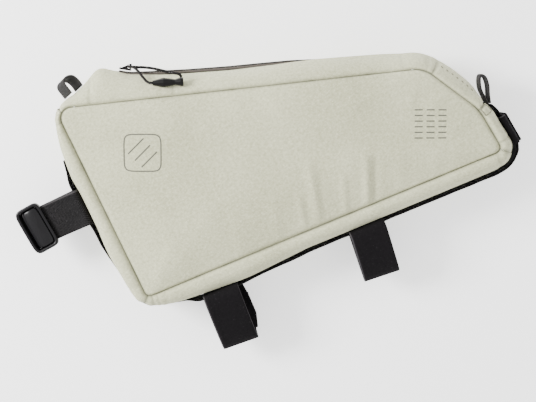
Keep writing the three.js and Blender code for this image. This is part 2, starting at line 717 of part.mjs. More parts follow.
// Buckle: two side walls, two end bars and the thumb plate between them
function buckle() {
  const parts = [];
  const wall = new THREE.Shape();
  const [l, d] = [BUCKLE_LENGTH, BUCKLE_DEPTH];
  wall.moveTo(-l / 2, d / 2 - BAR);
  wall.quadraticCurveTo(-l / 2, d / 2, -l / 2 + BAR, d / 2);
  wall.lineTo(l / 2 - BAR, d / 2);
  wall.quadraticCurveTo(l / 2, d / 2, l / 2, d / 2 - BAR);
  wall.lineTo(l / 4, -d / 2);
  wall.lineTo(-l / 4, -d / 2);
  for (const side of [-1, 1]) {
    const cheek = new THREE.ExtrudeGeometry(wall,
      { depth: BUCKLE_WALL, bevelEnabled: false, curveSegments: 3 });
    cheek.rotateX(Math.PI / 2);
    cheek.translate(0, side * (BUCKLE_WIDTH - BUCKLE_WALL) / 2 + BUCKLE_WALL / 2, 0);
    parts.push(cheek);
    const bar = new THREE.BoxGeometry(BAR, BUCKLE_WIDTH - BUCKLE_WALL, BAR);
    bar.translate(side * (l - BAR) / 2, 0, d / 2 - BAR / 2 - 0.1);
    parts.push(bar);
  }
  const plate = new THREE.Shape();
  plate.moveTo(-PLATE_LENGTH / 2, 0);
  plate.quadraticCurveTo(0, 0.9 * PLATE_WALL, PLATE_LENGTH / 2, 0);
  plate.lineTo(PLATE_LENGTH / 2, -0.6 * PLATE_WALL);
  plate.lineTo(-PLATE_LENGTH / 2, -0.6 * PLATE_WALL);
  const width = BUCKLE_WIDTH - BUCKLE_WALL;
  const thumb = new THREE.ExtrudeGeometry(plate, { depth: width, bevelEnabled: false, curveSegments: 6 });
  thumb.rotateX(Math.PI / 2);
  thumb.translate(-1, width / 2, d / 2 - 0.4 * PLATE_WALL);
  parts.push(thumb);
  return joined(parts);
}
const buckleGeometry = buckle();
buckleGeometry.rotateZ(BUCKLE_TURN);
buckleGeometry.translate(buckleMiddle, 0, BUCKLE_LIFT);
const { origin: buckleOrigin, across: buckleAcross, up: buckleUp } = buckleSeat.frame;
buckleGeometry.applyMatrix4(new THREE.Matrix4().makeBasis(buckleAcross,
  buckleUp.clone().cross(buckleAcross), buckleUp).setPosition(buckleOrigin));
add("buckle", buckleGeometry, MOULDED);

// Pull tab over the zip's end cap: a webbing loop, turned out of the ridge's line.
// across: share of the tab's span. up: share of its height.
const TAB_ROWS = [
  { across: -0.5, up: 0.0 },
  { across: -0.52, up: 0.45 },
  { across: -0.4, up: 0.82 },
  { across: -0.1, up: 0.99 },
  { across: 0.25, up: 0.98 },
  { across: 0.47, up: 0.78 },
  { across: 0.5, up: 0.4 },
  { across: 0.5, up: 0.0 },
];
const tabSeat = ridgeSeat(TAB_AT, GAP, TAB_SPAN * Math.cos(TAB_TURN) + TAB_WIDTH * Math.sin(TAB_TURN));
const tabAcross = tabSeat.along.clone().applyAxisAngle(tabSeat.outward, TAB_TURN);
add("pull_tab", bentStrip(
  TAB_ROWS.map(({ across, up }) => V2(across * TAB_SPAN, up * TAB_HEIGHT)),
  WEBBING_WALL, TAB_WIDTH,
  { origin: tabSeat.point, across: tabAcross, up: tabSeat.outward }, 20), WEBBING);

// Webbing loop at the narrow end of the zip, lying back along the shoulder.
// along: share of the loop's length. off: share of its spread.
const LOOP_ROWS = [
  { along: 0.0, off: 0.0 },
  { along: 0.26, off: -0.2 },
  { along: 0.54, off: -0.3 },
  { along: 0.82, off: -0.1 },
  { along: 0.965, off: 0.17 },
  { along: 0.84, off: 0.52 },
  { along: 0.56, off: 0.55 },
  { along: 0.28, off: 0.44 },
  { along: 0.07, off: 0.33 },
];
const loopSeat = stationAt(RUNS.right, 0.95);
const loopLean = V2(0.1, 0.995);
const loopStart = loopSeat.out + 2 * GAP + WEBBING_WALL / 2;
const loopFoot = loopSeat.point.clone().addScaledVector(loopSeat.normal, loopStart);
add("end_loop", bentStrip(
  LOOP_ROWS.map(({ along, off }) => V2(along * LOOP_LENGTH, off * LOOP_SPREAD)),
  WEBBING_WALL, LOOP_WIDTH, {
    origin: V3(loopFoot.x, loopFoot.y, MIDDLE),
    across: V3(loopLean.x, loopLean.y, 0),
    up: V3(loopLean.y, -loopLean.x, 0),
  }, 26), WEBBING);

// Origin in the middle of the box's underside, without the cord and its pull
const box = new THREE.Box3();
for (const mesh of bag.children) if (!cordNodes.has(mesh.name)) box.expandByObject(mesh);
bag.position.set(-(box.min.x + box.max.x) / 2, -(box.min.y + box.max.y) / 2, -box.min.z);

export default bag;
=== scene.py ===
import logging
import math
from dataclasses import dataclass
from enum import Enum

import bmesh
import bpy
import numpy as np
from mathutils import Matrix, Vector


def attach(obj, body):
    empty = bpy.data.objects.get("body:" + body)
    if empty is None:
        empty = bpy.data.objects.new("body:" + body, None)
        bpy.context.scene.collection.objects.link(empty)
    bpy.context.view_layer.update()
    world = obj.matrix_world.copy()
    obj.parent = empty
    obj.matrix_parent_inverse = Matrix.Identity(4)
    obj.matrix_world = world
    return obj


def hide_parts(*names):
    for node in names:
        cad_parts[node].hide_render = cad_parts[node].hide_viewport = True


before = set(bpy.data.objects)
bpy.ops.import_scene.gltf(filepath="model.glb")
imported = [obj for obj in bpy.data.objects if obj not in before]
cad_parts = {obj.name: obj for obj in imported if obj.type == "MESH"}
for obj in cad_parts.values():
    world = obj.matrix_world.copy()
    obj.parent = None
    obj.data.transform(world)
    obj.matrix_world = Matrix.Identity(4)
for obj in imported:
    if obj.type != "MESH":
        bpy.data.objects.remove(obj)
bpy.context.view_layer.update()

LOG = logging.getLogger("frame_bag")
Array = np.ndarray
Pair = tuple[Array, Array]
Triple = tuple[Array, Array, Array]
Table = tuple[tuple[float, float], ...]
Point = tuple[float, float, float]
Colour = tuple[int, int, int]
Socket = bpy.types.NodeSocket
Surface = tuple[Socket, Socket, Socket, float]
Material = bpy.types.Material
Thing = bpy.types.Object

# Sizes are in millimetres in the seam's own frame: its origin is the seam's corner between
# the strap edge and the tall end, on the surface that the bag lies on. SHIFT moves it to the
# middle of the box's underside.
SHIFT = np.array([-125.081, -61.703, 0.0])
WALL = 1.8
GAP = 0.3
BACK_RISE = 6.0
SEAM_SPAN = 45.0
MIDDLE = BACK_RISE + SEAM_SPAN / 2
FRONT_SEAM = BACK_RISE + SEAM_SPAN
CROWN = 7.5
GUSSET_WIDTH = 25.0
KEEPER_WIDTH = 24.0
KEEPER_WALL = 1.5


class Side(Enum):
    """Which face of the bag a piece belongs to: the front one or the one it lies on."""

    FRONT = 1
    BACK = -1


def to_frame(points: Array) -> Array:
    """Millimetres in the seam's frame to metres in the object's own frame."""
    return (np.asarray(points, float) + SHIFT) / 1000.0


def eased(t: Array) -> Array:
    """Smooth step from 0 to 1 with level ends."""
    return t * t * (3 - 2 * t)


def unit(rows: Array) -> Array:
    """Rows made one long."""
    return rows / np.linalg.norm(rows, axis=-1, keepdims=True)


def run_length(line: Array) -> Array:
    """Length along a line at each of its points."""
    return np.concatenate([[0], np.cumsum(np.linalg.norm(np.diff(line, axis=0), axis=1))])


def looked_up(share: Array, rows: Table) -> Array:
    """Values of a table of shares and values at any shares, straight between its rows."""
    return np.interp(share, *np.array(rows, float).T)


def with_height(flat: Array, z: Array) -> Array:
    """Points in x and y with a third column."""
    return np.concatenate([flat, np.broadcast_to(z, flat.shape[:-1])[..., None]], -1)


def blunted(x: Array, power: float) -> Array:
    """Values raised to a power with their signs kept."""
    return np.sign(x) * np.abs(x) ** power


def superellipse(angle: Array, power: float) -> Array:
    """Points at angles round a superellipse that reaches 1 along both axes."""
    c, s = np.cos(angle), np.sin(angle)
    size = (np.abs(c) ** power + np.abs(s) ** power) ** (-1 / power)
    return np.stack([c * size, s * size], -1)


def turned(points: Array, angle: float) -> Array:
    """Points in x and y turned counterclockwise."""
    c, s = math.cos(angle), math.sin(angle)
    return points @ np.array([[c, s], [-s, c]])


def placed(name: str, data: bpy.types.ID) -> Thing:
    """A new object with its data, linked to the scene."""
    item = bpy.data.objects.new(name, data)
    bpy.context.scene.collection.objects.link(item)
    return item


def smooth_noise(x: Array, wavelength: float, seed: int) -> Array:
    """Smooth random curve between -1 and 1: cubic blends of seeded values, one per wavelength.

    Args:
        x: places along the curve, in mm.
        wavelength: distance between the random values, in mm.
        seed: start of the random series.

    Returns:
        One value per place.
    """
    values = np.random.default_rng(seed).uniform(-1, 1, 512)
    cell = np.asarray(x, float) / wavelength
    whole = np.floor(cell).astype(int)
    t = eased(cell - whole)
    return values[whole % 512] * (1 - t) + values[(whole + 1) % 512] * t


def ridge(x: Array, y: Array, line: list[float], width: float) -> Array:
    """Soft ridge along a line: one bell across it, fading out towards both of its ends.

    Args:
        x: places, in mm.
        y: places, in mm.
        line: x and y of the start and of the end.
        width: half width of the bell, in mm.

    Returns:
        Height between 0 and 1 at each place.
    """
    x0, y0, x1, y1 = line
    length = math.hypot(x1 - x0, y1 - y0)
    ux, uy = (x1 - x0) / length, (y1 - y0) / length
    along = ((x - x0) * ux + (y - y0) * uy) / length
    off = (-(x - x0) * uy + (y - y0) * ux) / width
    fade = np.clip(np.minimum(along, 1 - along) / 0.35 + 0.25, 0, 1)
    return np.exp(-off * off) * eased(fade)


def catmull_rom(rows: Array, samples: int) -> Array:
    """Smooth line through its points, with even steps along its length.

    A Catmull-Rom spline with uniform knots is sampled finely, then resampled by arc length.

    Args:
        rows: points, one per row, in two or three dimensions.
        samples: number of steps wanted.

    Returns:
        samples + 1 points.
    """
    p = np.asarray(rows, float)
    padded = np.vstack([p[:1], p, p[-1:]])
    t = np.linspace(0, 1, 40, endpoint=False)[:, None, None]
    a, b, c, d = (padded[i:len(p) - 1 + i][None] for i in range(4))
    line = 0.5 * ((2 * b) + (c - a) * t + (2 * a - 5 * b + 4 * c - d) * t ** 2
                  + (3 * b - a - 3 * c + d) * t ** 3)
    line = np.vstack([line.transpose(1, 0, 2).reshape(-1, p.shape[1]), p[-1:]])
    reach = run_length(line)
    wanted = np.linspace(0, reach[-1], samples + 1)
    return np.stack([np.interp(wanted, reach, line[:, k]) for k in range(p.shape[1])], axis=1)


def blurred(values: Array, half: int) -> Array:
    """Values smoothed by a raised cosine of that half width, with the ends held."""
    if half < 1:
        return values
    window = np.hanning(2 * half + 3)[1:-1]
    padded = np.concatenate([np.full(half, values[0]), values, np.full(half, values[-1])])
    return np.convolve(padded, window / window.sum(), mode="valid")


@dataclass(frozen=True)
class Corner:
    """A corner of the seam's outline: its sharp point and its radius, in mm."""

    x: float
    y: float
    radius: float


class Seam:
    """Closed outline of the front and back seams, straight lines joined by corner arcs."""

    def __init__(self, corners: list[Corner]) -> None:
        """Works out the outline as dense samples of length, point and heading.

        Each corner is an arc that touches both of its edges: its cut along each edge is the
        radius times the tangent of half the turn.

        Args:
            corners: the sharp corners, counterclockwise.
        """
        p = np.array([[c.x, c.y] for c in corners])
        length, xs, ys, headings = [], [], [], []
        self.middles: list[float] = []
        reached = 0.0
        previous: Array | None = None
        heading = math.atan2(*(p[0] - p[-1])[::-1])
        for i, corner in enumerate(corners):
            into = p[i] - p[i - 1]
            away = p[(i + 1) % len(p)] - p[i]
            room = 0.47 * min(np.linalg.norm(into), np.linalg.norm(away))
            into, away = unit(into), unit(away)
            turn = math.acos(float(np.clip(into @ away, -1, 1)))
            cut = min(corner.radius * math.tan(turn / 2), room)
            radius = cut / math.tan(turn / 2)
            start = p[i] - into * cut
            centre = start + np.array([-into[1], into[0]]) * radius
            if previous is not None:
                reached += float(np.linalg.norm(start - previous))
            angle = np.linspace(0, turn, 40)
            first = math.atan2(*(start - centre)[::-1])
            length.append(reached + radius * angle)
            xs.append(centre[0] + radius * np.cos(first + angle))
            ys.append(centre[1] + radius * np.sin(first + angle))
            headings.append(heading + angle)
            self.middles.append(reached + radius * turn / 2)
            reached += radius * turn
            heading += turn
            previous = np.array([xs[-1][-1], ys[-1][-1]])
        closing = np.array([xs[0][0], ys[0][0]])
        reached += float(np.linalg.norm(closing - previous))
        self.length = reached
        self.middles.append(reached + self.middles[0])
        length.append([reached])
        xs.append([closing[0]])
        ys.append([closing[1]])
        headings.append([heading])
        self._length = np.concatenate(length)
        self._x, self._y = np.concatenate(xs), np.concatenate(ys)
        self._heading = np.concatenate(headings)

    def lengths(self, count: int) -> Array:
        """Even lengths round the whole outline."""
        return np.linspace(0, self.length, count, endpoint=False)

    def at(self, reached: Array) -> Pair:
        """Points and outward normals at lengths along the outline.

        Args:
            reached: lengths in mm; they wrap round.

        Returns:
            Points and unit normals, one row each.
        """
        s = np.mod(reached, self.length)
        point = np.stack([np.interp(s, self._length, line) for line in (self._x, self._y)], -1)
        heading = np.interp(s, self._length, self._heading)
        return point, np.stack([np.sin(heading), -np.cos(heading)], -1)


@dataclass(frozen=True)
class Run:
    """A stretch of the seam between two corners, with its bulge as shares of a scale."""

    name: str
    start: int
    end: int
    scale: float
    rows: Table

    @property
    def span(self) -> tuple[float, float]:
        """Lengths along the seam where the run starts and ends, in mm."""
        return SEAM.middles[self.start], SEAM.middles[self.end]

    def bulge(self, reached: Array) -> Array:
        """How far the bag bulges out of the seam, in mm: the table, with its corners eased.

        Args:
            reached: lengths along the seam, in mm.

        Returns:
            The bulge at each length.
        """
        first, last = self.span
        steps, ease = 900, 5
        grid = np.linspace(0, 1, steps)
        table = blurred(looked_up(grid, self.rows), int(steps * ease / (last - first)))
        return self.scale * np.interp(self.share(reached), grid, table)

    def share(self, reached: Array) -> Array:
        """Shares of the way along the run at lengths along the seam."""
        first, last = self.span
        return (np.asarray(reached) - first) / (last - first)

    def reach(self, share: float) -> float:
        """Length along the seam at a share of the way along the run."""
        first, last = self.span
        return first + share * (last - first)

    def lengths(self, step: float, cut: float, start: float = 0.0, end: float = 1.0) -> Array:
        """Even lengths along the run, about one per step, short of its ends by the cut."""
        low, high = self.reach(start), self.reach(end)
        return np.linspace(low + cut, high - cut, max(4, int((high - low) / step)))


SEAM = Seam([
    Corner(0, 0, 5), Corner(306, 0, 5), Corner(300.5, 37, 40), Corner(272, 84, 24),
    Corner(-7.5, 166, 9),
])
BOTTOM = Run("bottom", 0, 1, 14, (
    (0, .56), (.03, .8), (.07, .97), (.12, 1.09), (.24, 1.23), (.27, 1.23), (.33, 1.14), (.44, .97),
    (.56, .99), (.7, .98), (.9, .97), (.975, .96), (1, .86)))
RIGHT = Run("right", 1, 2, 14, ((0, .86), (.06, .77), (.5, .72), (.8, .72), (1, .61)))
TOP = Run("top", 2, 4, 17, (
    (0, .5), (.034, .76), (.06, .84), (.1, .86), (.15, .78), (.2, .79), (.25, .87), (.34, .93),
    (.46, 1), (.6, 1.02), (.7, 1.09), (.79, 1.19), (.836, 1.25), (.88, 1.49), (.9, 1.65),
    (.912, 1.59), (.925, 1.37), (.935, 1.15), (.95, .88), (.976, .49), (.988, .37), (1, .35)))
LEFT = Run("left", 4, 5, 14, (
    (0, .42), (.03, .4), (.07, .54), (.157, .78), (.25, .9), (.32, .97), (.4, .89), (.59, .89),
    (.68, .95), (.745, .93), (.88, .78), (.94, .74), (1, .56)))
RUNS = (BOTTOM, RIGHT, TOP, LEFT)


def low_corner(run: Run, reach: Array, bottom: float, left: float) -> Array:
    """1 at the tall end's lower corner, falling to 0 along either edge from it.

    It is a flat-topped bell: e to the minus fourth power of the distance over the edge's size.

    Args:
        run: the stretch of the seam.
        reach: lengths along the seam, in mm.
        bottom: size of the bell along the bottom run, in mm.
        left: its size along the left run, in mm.

    Returns:
        One value per length, 0 on the other runs.
    """
    first, last = run.span
    if run is BOTTOM:
        return np.exp(-((reach - first) / bottom) ** 4)
    if run is LEFT:
        return np.exp(-((last - reach) / left) ** 4)
    return np.zeros(len(reach))


@dataclass(frozen=True)
class Pass:
    """Where a strap passes between the gusset and the keeper webbing, in mm."""

    run: Run
    at: float
    width: float
    wall: float

    @property
    def middle(self) -> float:
        """Length along the seam of the strap's middle."""
        return self.run.span[0] + self.at

    def seat(self) -> "Seat":
        """The strap's frame on the seam and the faces under and over it."""
        point, normal = SEAM.at(np.array([self.middle]))
        reach = self.middle + np.linspace(-0.5, 0.5, 9) * self.width
        p, n = SEAM.at(reach)
        off = (p + n * self.run.bulge(reach)[:, None] - point) @ normal[0]
        under = max(0.0, float(off.max())) + GAP
        origin, across = np.array([*point[0], MIDDLE]), np.array([*normal[0], 0.0])
        return Seat(under, under + self.wall, origin, across)


@dataclass(frozen=True)
class Seat:
    """A strap's place: the faces under and over it, off the seam, and its frame."""

    under: float
    over: float
    origin: Array
    across: Array


STRAP_1 = Pass(BOTTOM, 54.5, 30, 1.8)
STRAP_2 = Pass(BOTTOM, 182.5, 30, 1.8)
STRAP_3 = Pass(RIGHT, 9, 25, 1.8)
BUCKLE_PASS = Pass(LEFT, 75.5, 30, 1.6)
PASSES = (STRAP_1, STRAP_2, STRAP_3, BUCKLE_PASS)


class Mesher:
    """Turns arrays of points into meshes whose objects sit at the origin."""

    @staticmethod
    def build(name: str, points: Array, faces: Array, uv: Array | None = None,
              sharp: float = 50.0, painted_shade: Array | None = None) -> Thing:
        """Makes an object from points and quads, facing outwards.

        The signed volume of the quads, the sum of each corner's triple product, says whether
        they face out; if it is negative they are turned round.

        Args:
            name: name of the piece.
            points: points in mm in the seam's frame, one per row.
            faces: quads as rows of four indices.
            uv: place on the cloth of each point in metres, or None.
            sharp: angle in degrees past which an edge stays crisp.
            painted_shade: weight of the shade painted into seam grooves and creases at each point,
                from 0 to 1, or None.

        Returns:
            The object, linked to the scene.
        """
        co = to_frame(points)
        a, b, c, d = (co[faces[:, k]] for k in range(4))
        if (a * (np.cross(b, c) + np.cross(c, d))).sum() < 0:
            faces = faces[:, ::-1]
        mesh = bpy.data.meshes.new(name)
        mesh.vertices.add(len(co))
        mesh.vertices.foreach_set("co", co.astype(np.float32).ravel())
        mesh.loops.add(faces.size)
        mesh.loops.foreach_set("vertex_index", faces.astype(np.int32).ravel())
        mesh.polygons.add(len(faces))
        mesh.polygons.foreach_set("loop_start", np.arange(0, faces.size, 4, dtype=np.int32))
        mesh.update(calc_edges=True)
        if uv is not None:
            layer = mesh.uv_layers.new(name="cloth")
            layer.data.foreach_set("uv", uv[faces.ravel()].astype(np.float32).ravel())
        # The crease attribute holds how much painted shade each point takes in seam grooves and
        # creases.
        if painted_shade is not None:
            depth = mesh.attributes.new("painted_shade", "FLOAT", "POINT")
            depth.data.foreach_set("value", painted_shade.astype(np.float32).ravel())
        mesh.polygons.foreach_set("use_smooth", np.ones(len(faces), bool))
        mesh.set_sharp_from_angle(angle=math.radians(sharp))
        mesh.validate()
        return placed(name, mesh)

    @staticmethod
    def ring_faces(count: int, ring: int, closed: bool) -> Array:
        """Quads between neighbouring rings of a carried section, closed round each ring."""
        i = np.arange(count if closed else count - 1)[:, None]
        j = np.arange(ring)[None]
        k, m = (j + 1) % ring, (i + 1) % count
        return np.stack([i * ring + j, i * ring + k, m * ring + k, m * ring + j], -1).reshape(-1, 4)

    @classmethod
    def wall(cls, name: str, outer: Array, inner: Array, closed: bool = False,
             sharp: float = 50.0, painted_shade: Array | None = None) -> Thing:
        """Closed cloth wall: a section's outer and inner lines carried along stations.

        Args:
            name: name of the piece.
            outer: stations by points by 3, in mm.
            inner: stations by points by 3, in mm; it may have fewer points.
            closed: True where the last station meets the first.
            sharp: angle in degrees past which an edge stays crisp.
            painted_shade: weight of the shade painted into seam grooves and creases at each outer
                point, from 0 to 1, or None.

        Returns:
            The object.
        """
        section = np.concatenate([outer, inner[:, ::-1]], axis=1)
        if painted_shade is not None:
            painted_shade = np.concatenate([painted_shade, np.zeros(inner.shape[:2])], axis=1)
        count, ring = section.shape[:2]
        faces = cls.ring_faces(count, ring, closed)
        m, n = outer.shape[1], inner.shape[1]
        if not closed:
            j = np.arange(m - 1)
            back = np.round(np.linspace(0, n - 1, m)).astype(int)
            low, high = ring - 1 - back[j], ring - 1 - back[j + 1]
            cap = np.stack([j, low, high, j + 1], -1)
            last = (count - 1) * ring
            faces = np.vstack([faces, cap, last + cap[:, ::-1]])
        along = run_length(outer.mean(axis=1))[:, None]
        across = np.zeros(section.shape[:2])
        across[:, 1:] = np.cumsum(np.linalg.norm(np.diff(section, axis=1), axis=2), axis=1)
        uv = np.stack([np.broadcast_to(along, across.shape), across], -1).reshape(-1, 2) / 1000.0
        return cls.build(name, section.reshape(-1, 3), faces, uv, sharp, painted_shade)

    @classmethod
    def tube(cls, name: str, path: Array, radius: Array | float, sides: int = 12) -> Thing:
        """Round tube along a path, closed at each end.

        Each ring's normal is the last one's with its part along the new direction taken out.

        Args:
            name: name of the piece.
            path: points in mm.
            radius: radius in mm, one or one per point.
            sides: points round it.

        Returns:
            The object.
        """
        points, faces, uv = cls.tube_arrays(path, radius, sides)
        return cls.build(name, points, faces, uv, 80.0)

    @staticmethod
    def tube_arrays(path: Array, radius: Array | float, sides: int) -> Triple:
        """Points, quads and cloth places of a tube: see tube."""
        p = np.asarray(path, float)
        r = np.broadcast_to(np.asarray(radius, float), len(p)).copy()
        tangent = unit(np.gradient(p, axis=0))
        guide = np.array([0.0, 0.0, 1.0]) if abs(tangent[0, 2]) < 0.9 else np.array([1.0, 0.0, 0.0])
        normals = np.zeros_like(p)
        normal = np.cross(tangent[0], guide)
        for k, t in enumerate(tangent):
            normals[k] = normal = unit(normal - t * (normal @ t))
        side = np.cross(tangent, normals)
        p = np.vstack([p[:1], p, p[-1:]])
        r = np.concatenate([[1e-3], r, [1e-3]])
        normals = np.vstack([normals[:1], normals, normals[-1:]])
        side = np.vstack([side[:1], side, side[-1:]])
        angle = np.linspace(0, 2 * math.pi, sides, endpoint=False)
        ring = normals[:, None] * np.cos(angle)[:, None] + side[:, None] * np.sin(angle)[:, None]
        points = p[:, None] + ring * r[:, None, None]
        faces = Mesher.ring_faces(len(p), sides, False)
        uv = np.stack(np.broadcast_arrays(run_length(p)[:, None], angle * r.max()), -1)
        points = points.reshape(-1, 3)
        return points, Mesher.capped(faces, len(points), sides), uv.reshape(-1, 2) / 1000

    @staticmethod
    def capped(faces: Array, count: int, sides: int) -> Array:
        """Quads with a cap added over the first ring and over the last, as rungs across it."""
        rung = np.arange(sides // 2 - 1)
        first = np.stack([rung, rung + 1, sides - 2 - rung, sides - 1 - rung], -1)
        return np.vstack([faces, first[:, ::-1], count - sides + first])

    @staticmethod
    def pillow(size: Point, power: float, rings: int,
               sides: int = 28) -> Pair:
        """Rounded block: a superellipsoid, whose cosines and sines are raised to a small power.

        Args:
            size: its three sides, in mm.
            power: 1 for an ellipsoid, towards 0 for a box.
            rings: rings from pole to pole.
            sides: points round each ring.

        Returns:
            Points about its middle, and quads.
        """
        v = np.linspace(-math.pi / 2, math.pi / 2, rings)[:, None]
        u = np.linspace(0, 2 * math.pi, sides, endpoint=False)[None]
        wide, high = blunted(np.cos(v), power), blunted(np.sin(v), power)
        ball = np.stack([wide * blunted(np.cos(u), power), wide * blunted(np.sin(u), power),
                         high * np.ones_like(u)], -1).reshape(-1, 3)
        faces = Mesher.ring_faces(rings, sides, False)
        return ball * size / 2, Mesher.capped(faces, rings * sides, sides)

    @staticmethod
    def joined(parts: list[Pair]) -> Pair:
        """Several shells as one list of points and one of quads."""
        offsets = np.cumsum([0] + [len(points) for points, _ in parts])
        return (np.vstack([points for points, _ in parts]),
                np.vstack([faces + offset for (_, faces), offset in zip(parts, offsets)]))


def dress(piece: Thing, material: Material, slot: str, *nodes: str) -> Thing:
    """Gives a piece its material, rides it on the body and hides the solids it stands for.

    Args:
        piece: the finished piece.
        material: its material.
        slot: the record's material slot; not used.
        nodes: names of the solids that it replaces.

    Returns:
        The piece.
    """
    piece.data.materials.append(material)
    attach(piece, "root")
    if nodes:
        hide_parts(*nodes)
    LOG.info("%s: %d faces", piece.name, len(piece.data.polygons))
    return piece


def refinished(name: str, material: Material) -> Thing:
    """One of the frame's rigid solids, given a material of this script."""
    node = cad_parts[name]
    node.data.materials.clear()
    node.data.materials.append(material)
    return node


def bent_strip(rows: Array, thickness: float, width: float, seat: Seat, samples: int,
               skew: Table = ((0, 0), (1, 0)),
               lean: float = 0.0) -> Pair:
    """Strap along a smooth line in a plane across the seam, as its two faces.

    Each face lies half the thickness to one side of the line and runs the width across it. The
    strap thins out towards its edges, by the share in each column's second row.

    Args:
        rows: points of the line: off the seam, and up from the bag's middle, in mm.
        thickness: of the strap, in mm.
        width: of the strap, in mm.
        seat: the strap's frame.
        samples: steps along the line.
        skew: sideways shift along the line, as rows of share and mm.
        lean: tangent of the angle by which the strap leans sideways as it leaves the seam.

    Returns:
        The outer and the inner face, stations by points by 3.
    """
    line = catmull_rom(rows, samples)
    tangent = unit(np.gradient(line, axis=0))
    side = np.stack([-tangent[:, 1], tangent[:, 0]], -1)
    half = np.array([(0, 1), (0.28, 1), (0.55, 1), (0.8, 1), (0.94, 1), (0.985, 0.8), (1, 0.45)])
    w, thick = np.vstack([half[:0:-1] * [-1, 1], half]).T
    shift = looked_up(np.linspace(0, 1, samples + 1), skew)[:, None]
    up = np.array([0.0, 0.0, 1.0])
    along = np.cross(seat.across, up)
    settled, spread = 6, 30
    faces = []
    for sign in (1, -1):
        flat = line[:, None] + side[:, None] * (sign * thickness / 2 * thick)[:, None]
        clear = np.maximum(flat[..., :1] - seat.under - settled, 0)
        out = flat[..., :1] - (w * width / 2)[:, None] * lean * np.minimum(clear / spread, 1)
        faces.append(seat.origin + out * seat.across + flat[..., 1:] * up
                     + ((w * width / 2 + shift)[..., None] + clear * lean) * along)
    return faces[0], faces[1]


def linear(red: int, green: int, blue: int) -> tuple[float, float, float, float]:
    """A display colour of 0 to 255 as the linear colour that the shaders take."""
    c = np.array([red, green, blue]) / 255.0
    c = np.where(c <= 0.04045, c / 12.92, ((c + 0.055) / 1.055) ** 2.4)
    return float(c[0]), float(c[1]), float(c[2]), 1.0


class Graph:
    """Short hand for adding nodes to a shader tree."""

    def __init__(self, tree: bpy.types.NodeTree) -> None:
        """Keeps the tree that nodes go into."""
        self.tree = tree

    def add(self, kind: str, settings: dict | None = None, **inputs: object) -> bpy.types.Node:
        """Adds a node, sets its options and its inputs.

        Args:
            kind: the node's type.
            settings: options of the node.
            inputs: values or output sockets; an underscore stands for a space, and a name such
                as i0 for an input's number.

        Returns:
            The node.
        """
        node = self.tree.nodes.new(kind)
        for key, value in (settings or {}).items():
            setattr(node, key, value)
        for key, value in inputs.items():
            place = int(key[1:]) if key[1:].isdigit() else key.replace("_", " ")
            self.feed(node.inputs[place], value)
        return node

    def feed(self, socket: Socket, value: object) -> None:
        """Links an output to an input, or sets the input's constant."""
        if isinstance(value, Socket):
            self.tree.links.new(value, socket)
        else:
            socket.default_value = value

    def math(self, operation: str, *values: object) -> Socket:
        """A Math node's result."""
        inputs = {f"i{k}": value for k, value in enumerate(values)}
        return self.add("ShaderNodeMath", {"operation": operation}, **inputs).outputs[0]

    def times(self, value: object, factor: object) -> Socket:
        """A product."""
        return self.math("MULTIPLY", value, factor)

    def weighted(self, *terms: tuple[object, float]) -> Socket:
        """A sum of values, each times its weight."""
        scaled = [self.times(value, weight) for value, weight in terms]
        total = scaled.pop()
        while scaled:
            total = self.math("ADD", scaled.pop(), total)
        return total

    def noise(self, vector: object, scale: float, detail: float = 2.0,
              rough: float = 0.5) -> Socket:
        """A noise texture's value, centred on 0.5."""
        return self.add("ShaderNodeTexNoise", None, Vector=vector, Scale=scale, Detail=detail,
                        Roughness=rough).outputs["Fac"]

    def mix(self, mask: object, low: object, high: object) -> Socket:
        """A mix of two colours by a mask."""
        return self.add("ShaderNodeMix", {"data_type": "RGBA"}, i0=mask, i6=low, i7=high).outputs[2]

    def between(self, value: object, low: float, high: float) -> Socket:
        """A value of 0 to 1 spread from low to high."""
        node = self.add("ShaderNodeMapRange", None, Value=value, To_Min=low, To_Max=high)
        return node.outputs[0]

    def stretched(self, value: object, low: float, high: float) -> Socket:
        """A value of low to high spread from 0 to 1, and held past both."""
        node = self.add("ShaderNodeMapRange", None, Value=value, From_Min=low, From_Max=high)
        return node.outputs[0]


class Effect(Graph):
    """A node group under way: its inputs are in given, and its outputs go in at the end."""

    def __init__(self, name: str, **inputs: float) -> None:
        """Makes the group with a vector named Place and the other inputs.

        Args:
            name: of the group.
            inputs: names of values with their defaults.
        """
        super().__init__(bpy.data.node_groups.new(name, "ShaderNodeTree"))
        self.socket("Place", "INPUT", "NodeSocketVector")
        for key, value in inputs.items():
            self.socket(key, "INPUT").default_value = value
        self.given = self.tree.nodes.new("NodeGroupInput").outputs
        self.place = self.given["Place"]

    def socket(self, name: str, side: str,
               kind: str = "NodeSocketFloat") -> bpy.types.NodeTreeInterfaceSocket:
        """A new socket on the group's outside."""
        return self.tree.interface.new_socket(name=name, in_out=side, socket_type=kind)

    def parts(self) -> bpy.types.NodeOutputs:
        """The place's X, Y and Z."""
        return self.add("ShaderNodeSeparateXYZ", None, Vector=self.place).outputs

    def selvedge(self, across: Socket, share: float) -> Socket:
        """Mask of a strap's edges on both faces: past a share of its width from its middle."""
        width, edge = self.given["Width"], 0.0009
        folded = self.math("PINGPONG", across, self.math("ADD", width, edge))
        off = self.math("SUBTRACT", folded, self.math("DIVIDE", width, 2.0))
        return self.math("GREATER_THAN", self.math("ABSOLUTE", off), self.times(width, share))

    def finished(self, **outputs: Socket) -> bpy.types.NodeTree:
        """Gives the group its outputs and hands it over."""
        for key in outputs:
            self.socket(key, "OUTPUT")
        outside = self.tree.nodes.new("NodeGroupOutput")
        for key, value in outputs.items():
            self.tree.links.new(value, outside.inputs[key])
        return self.tree


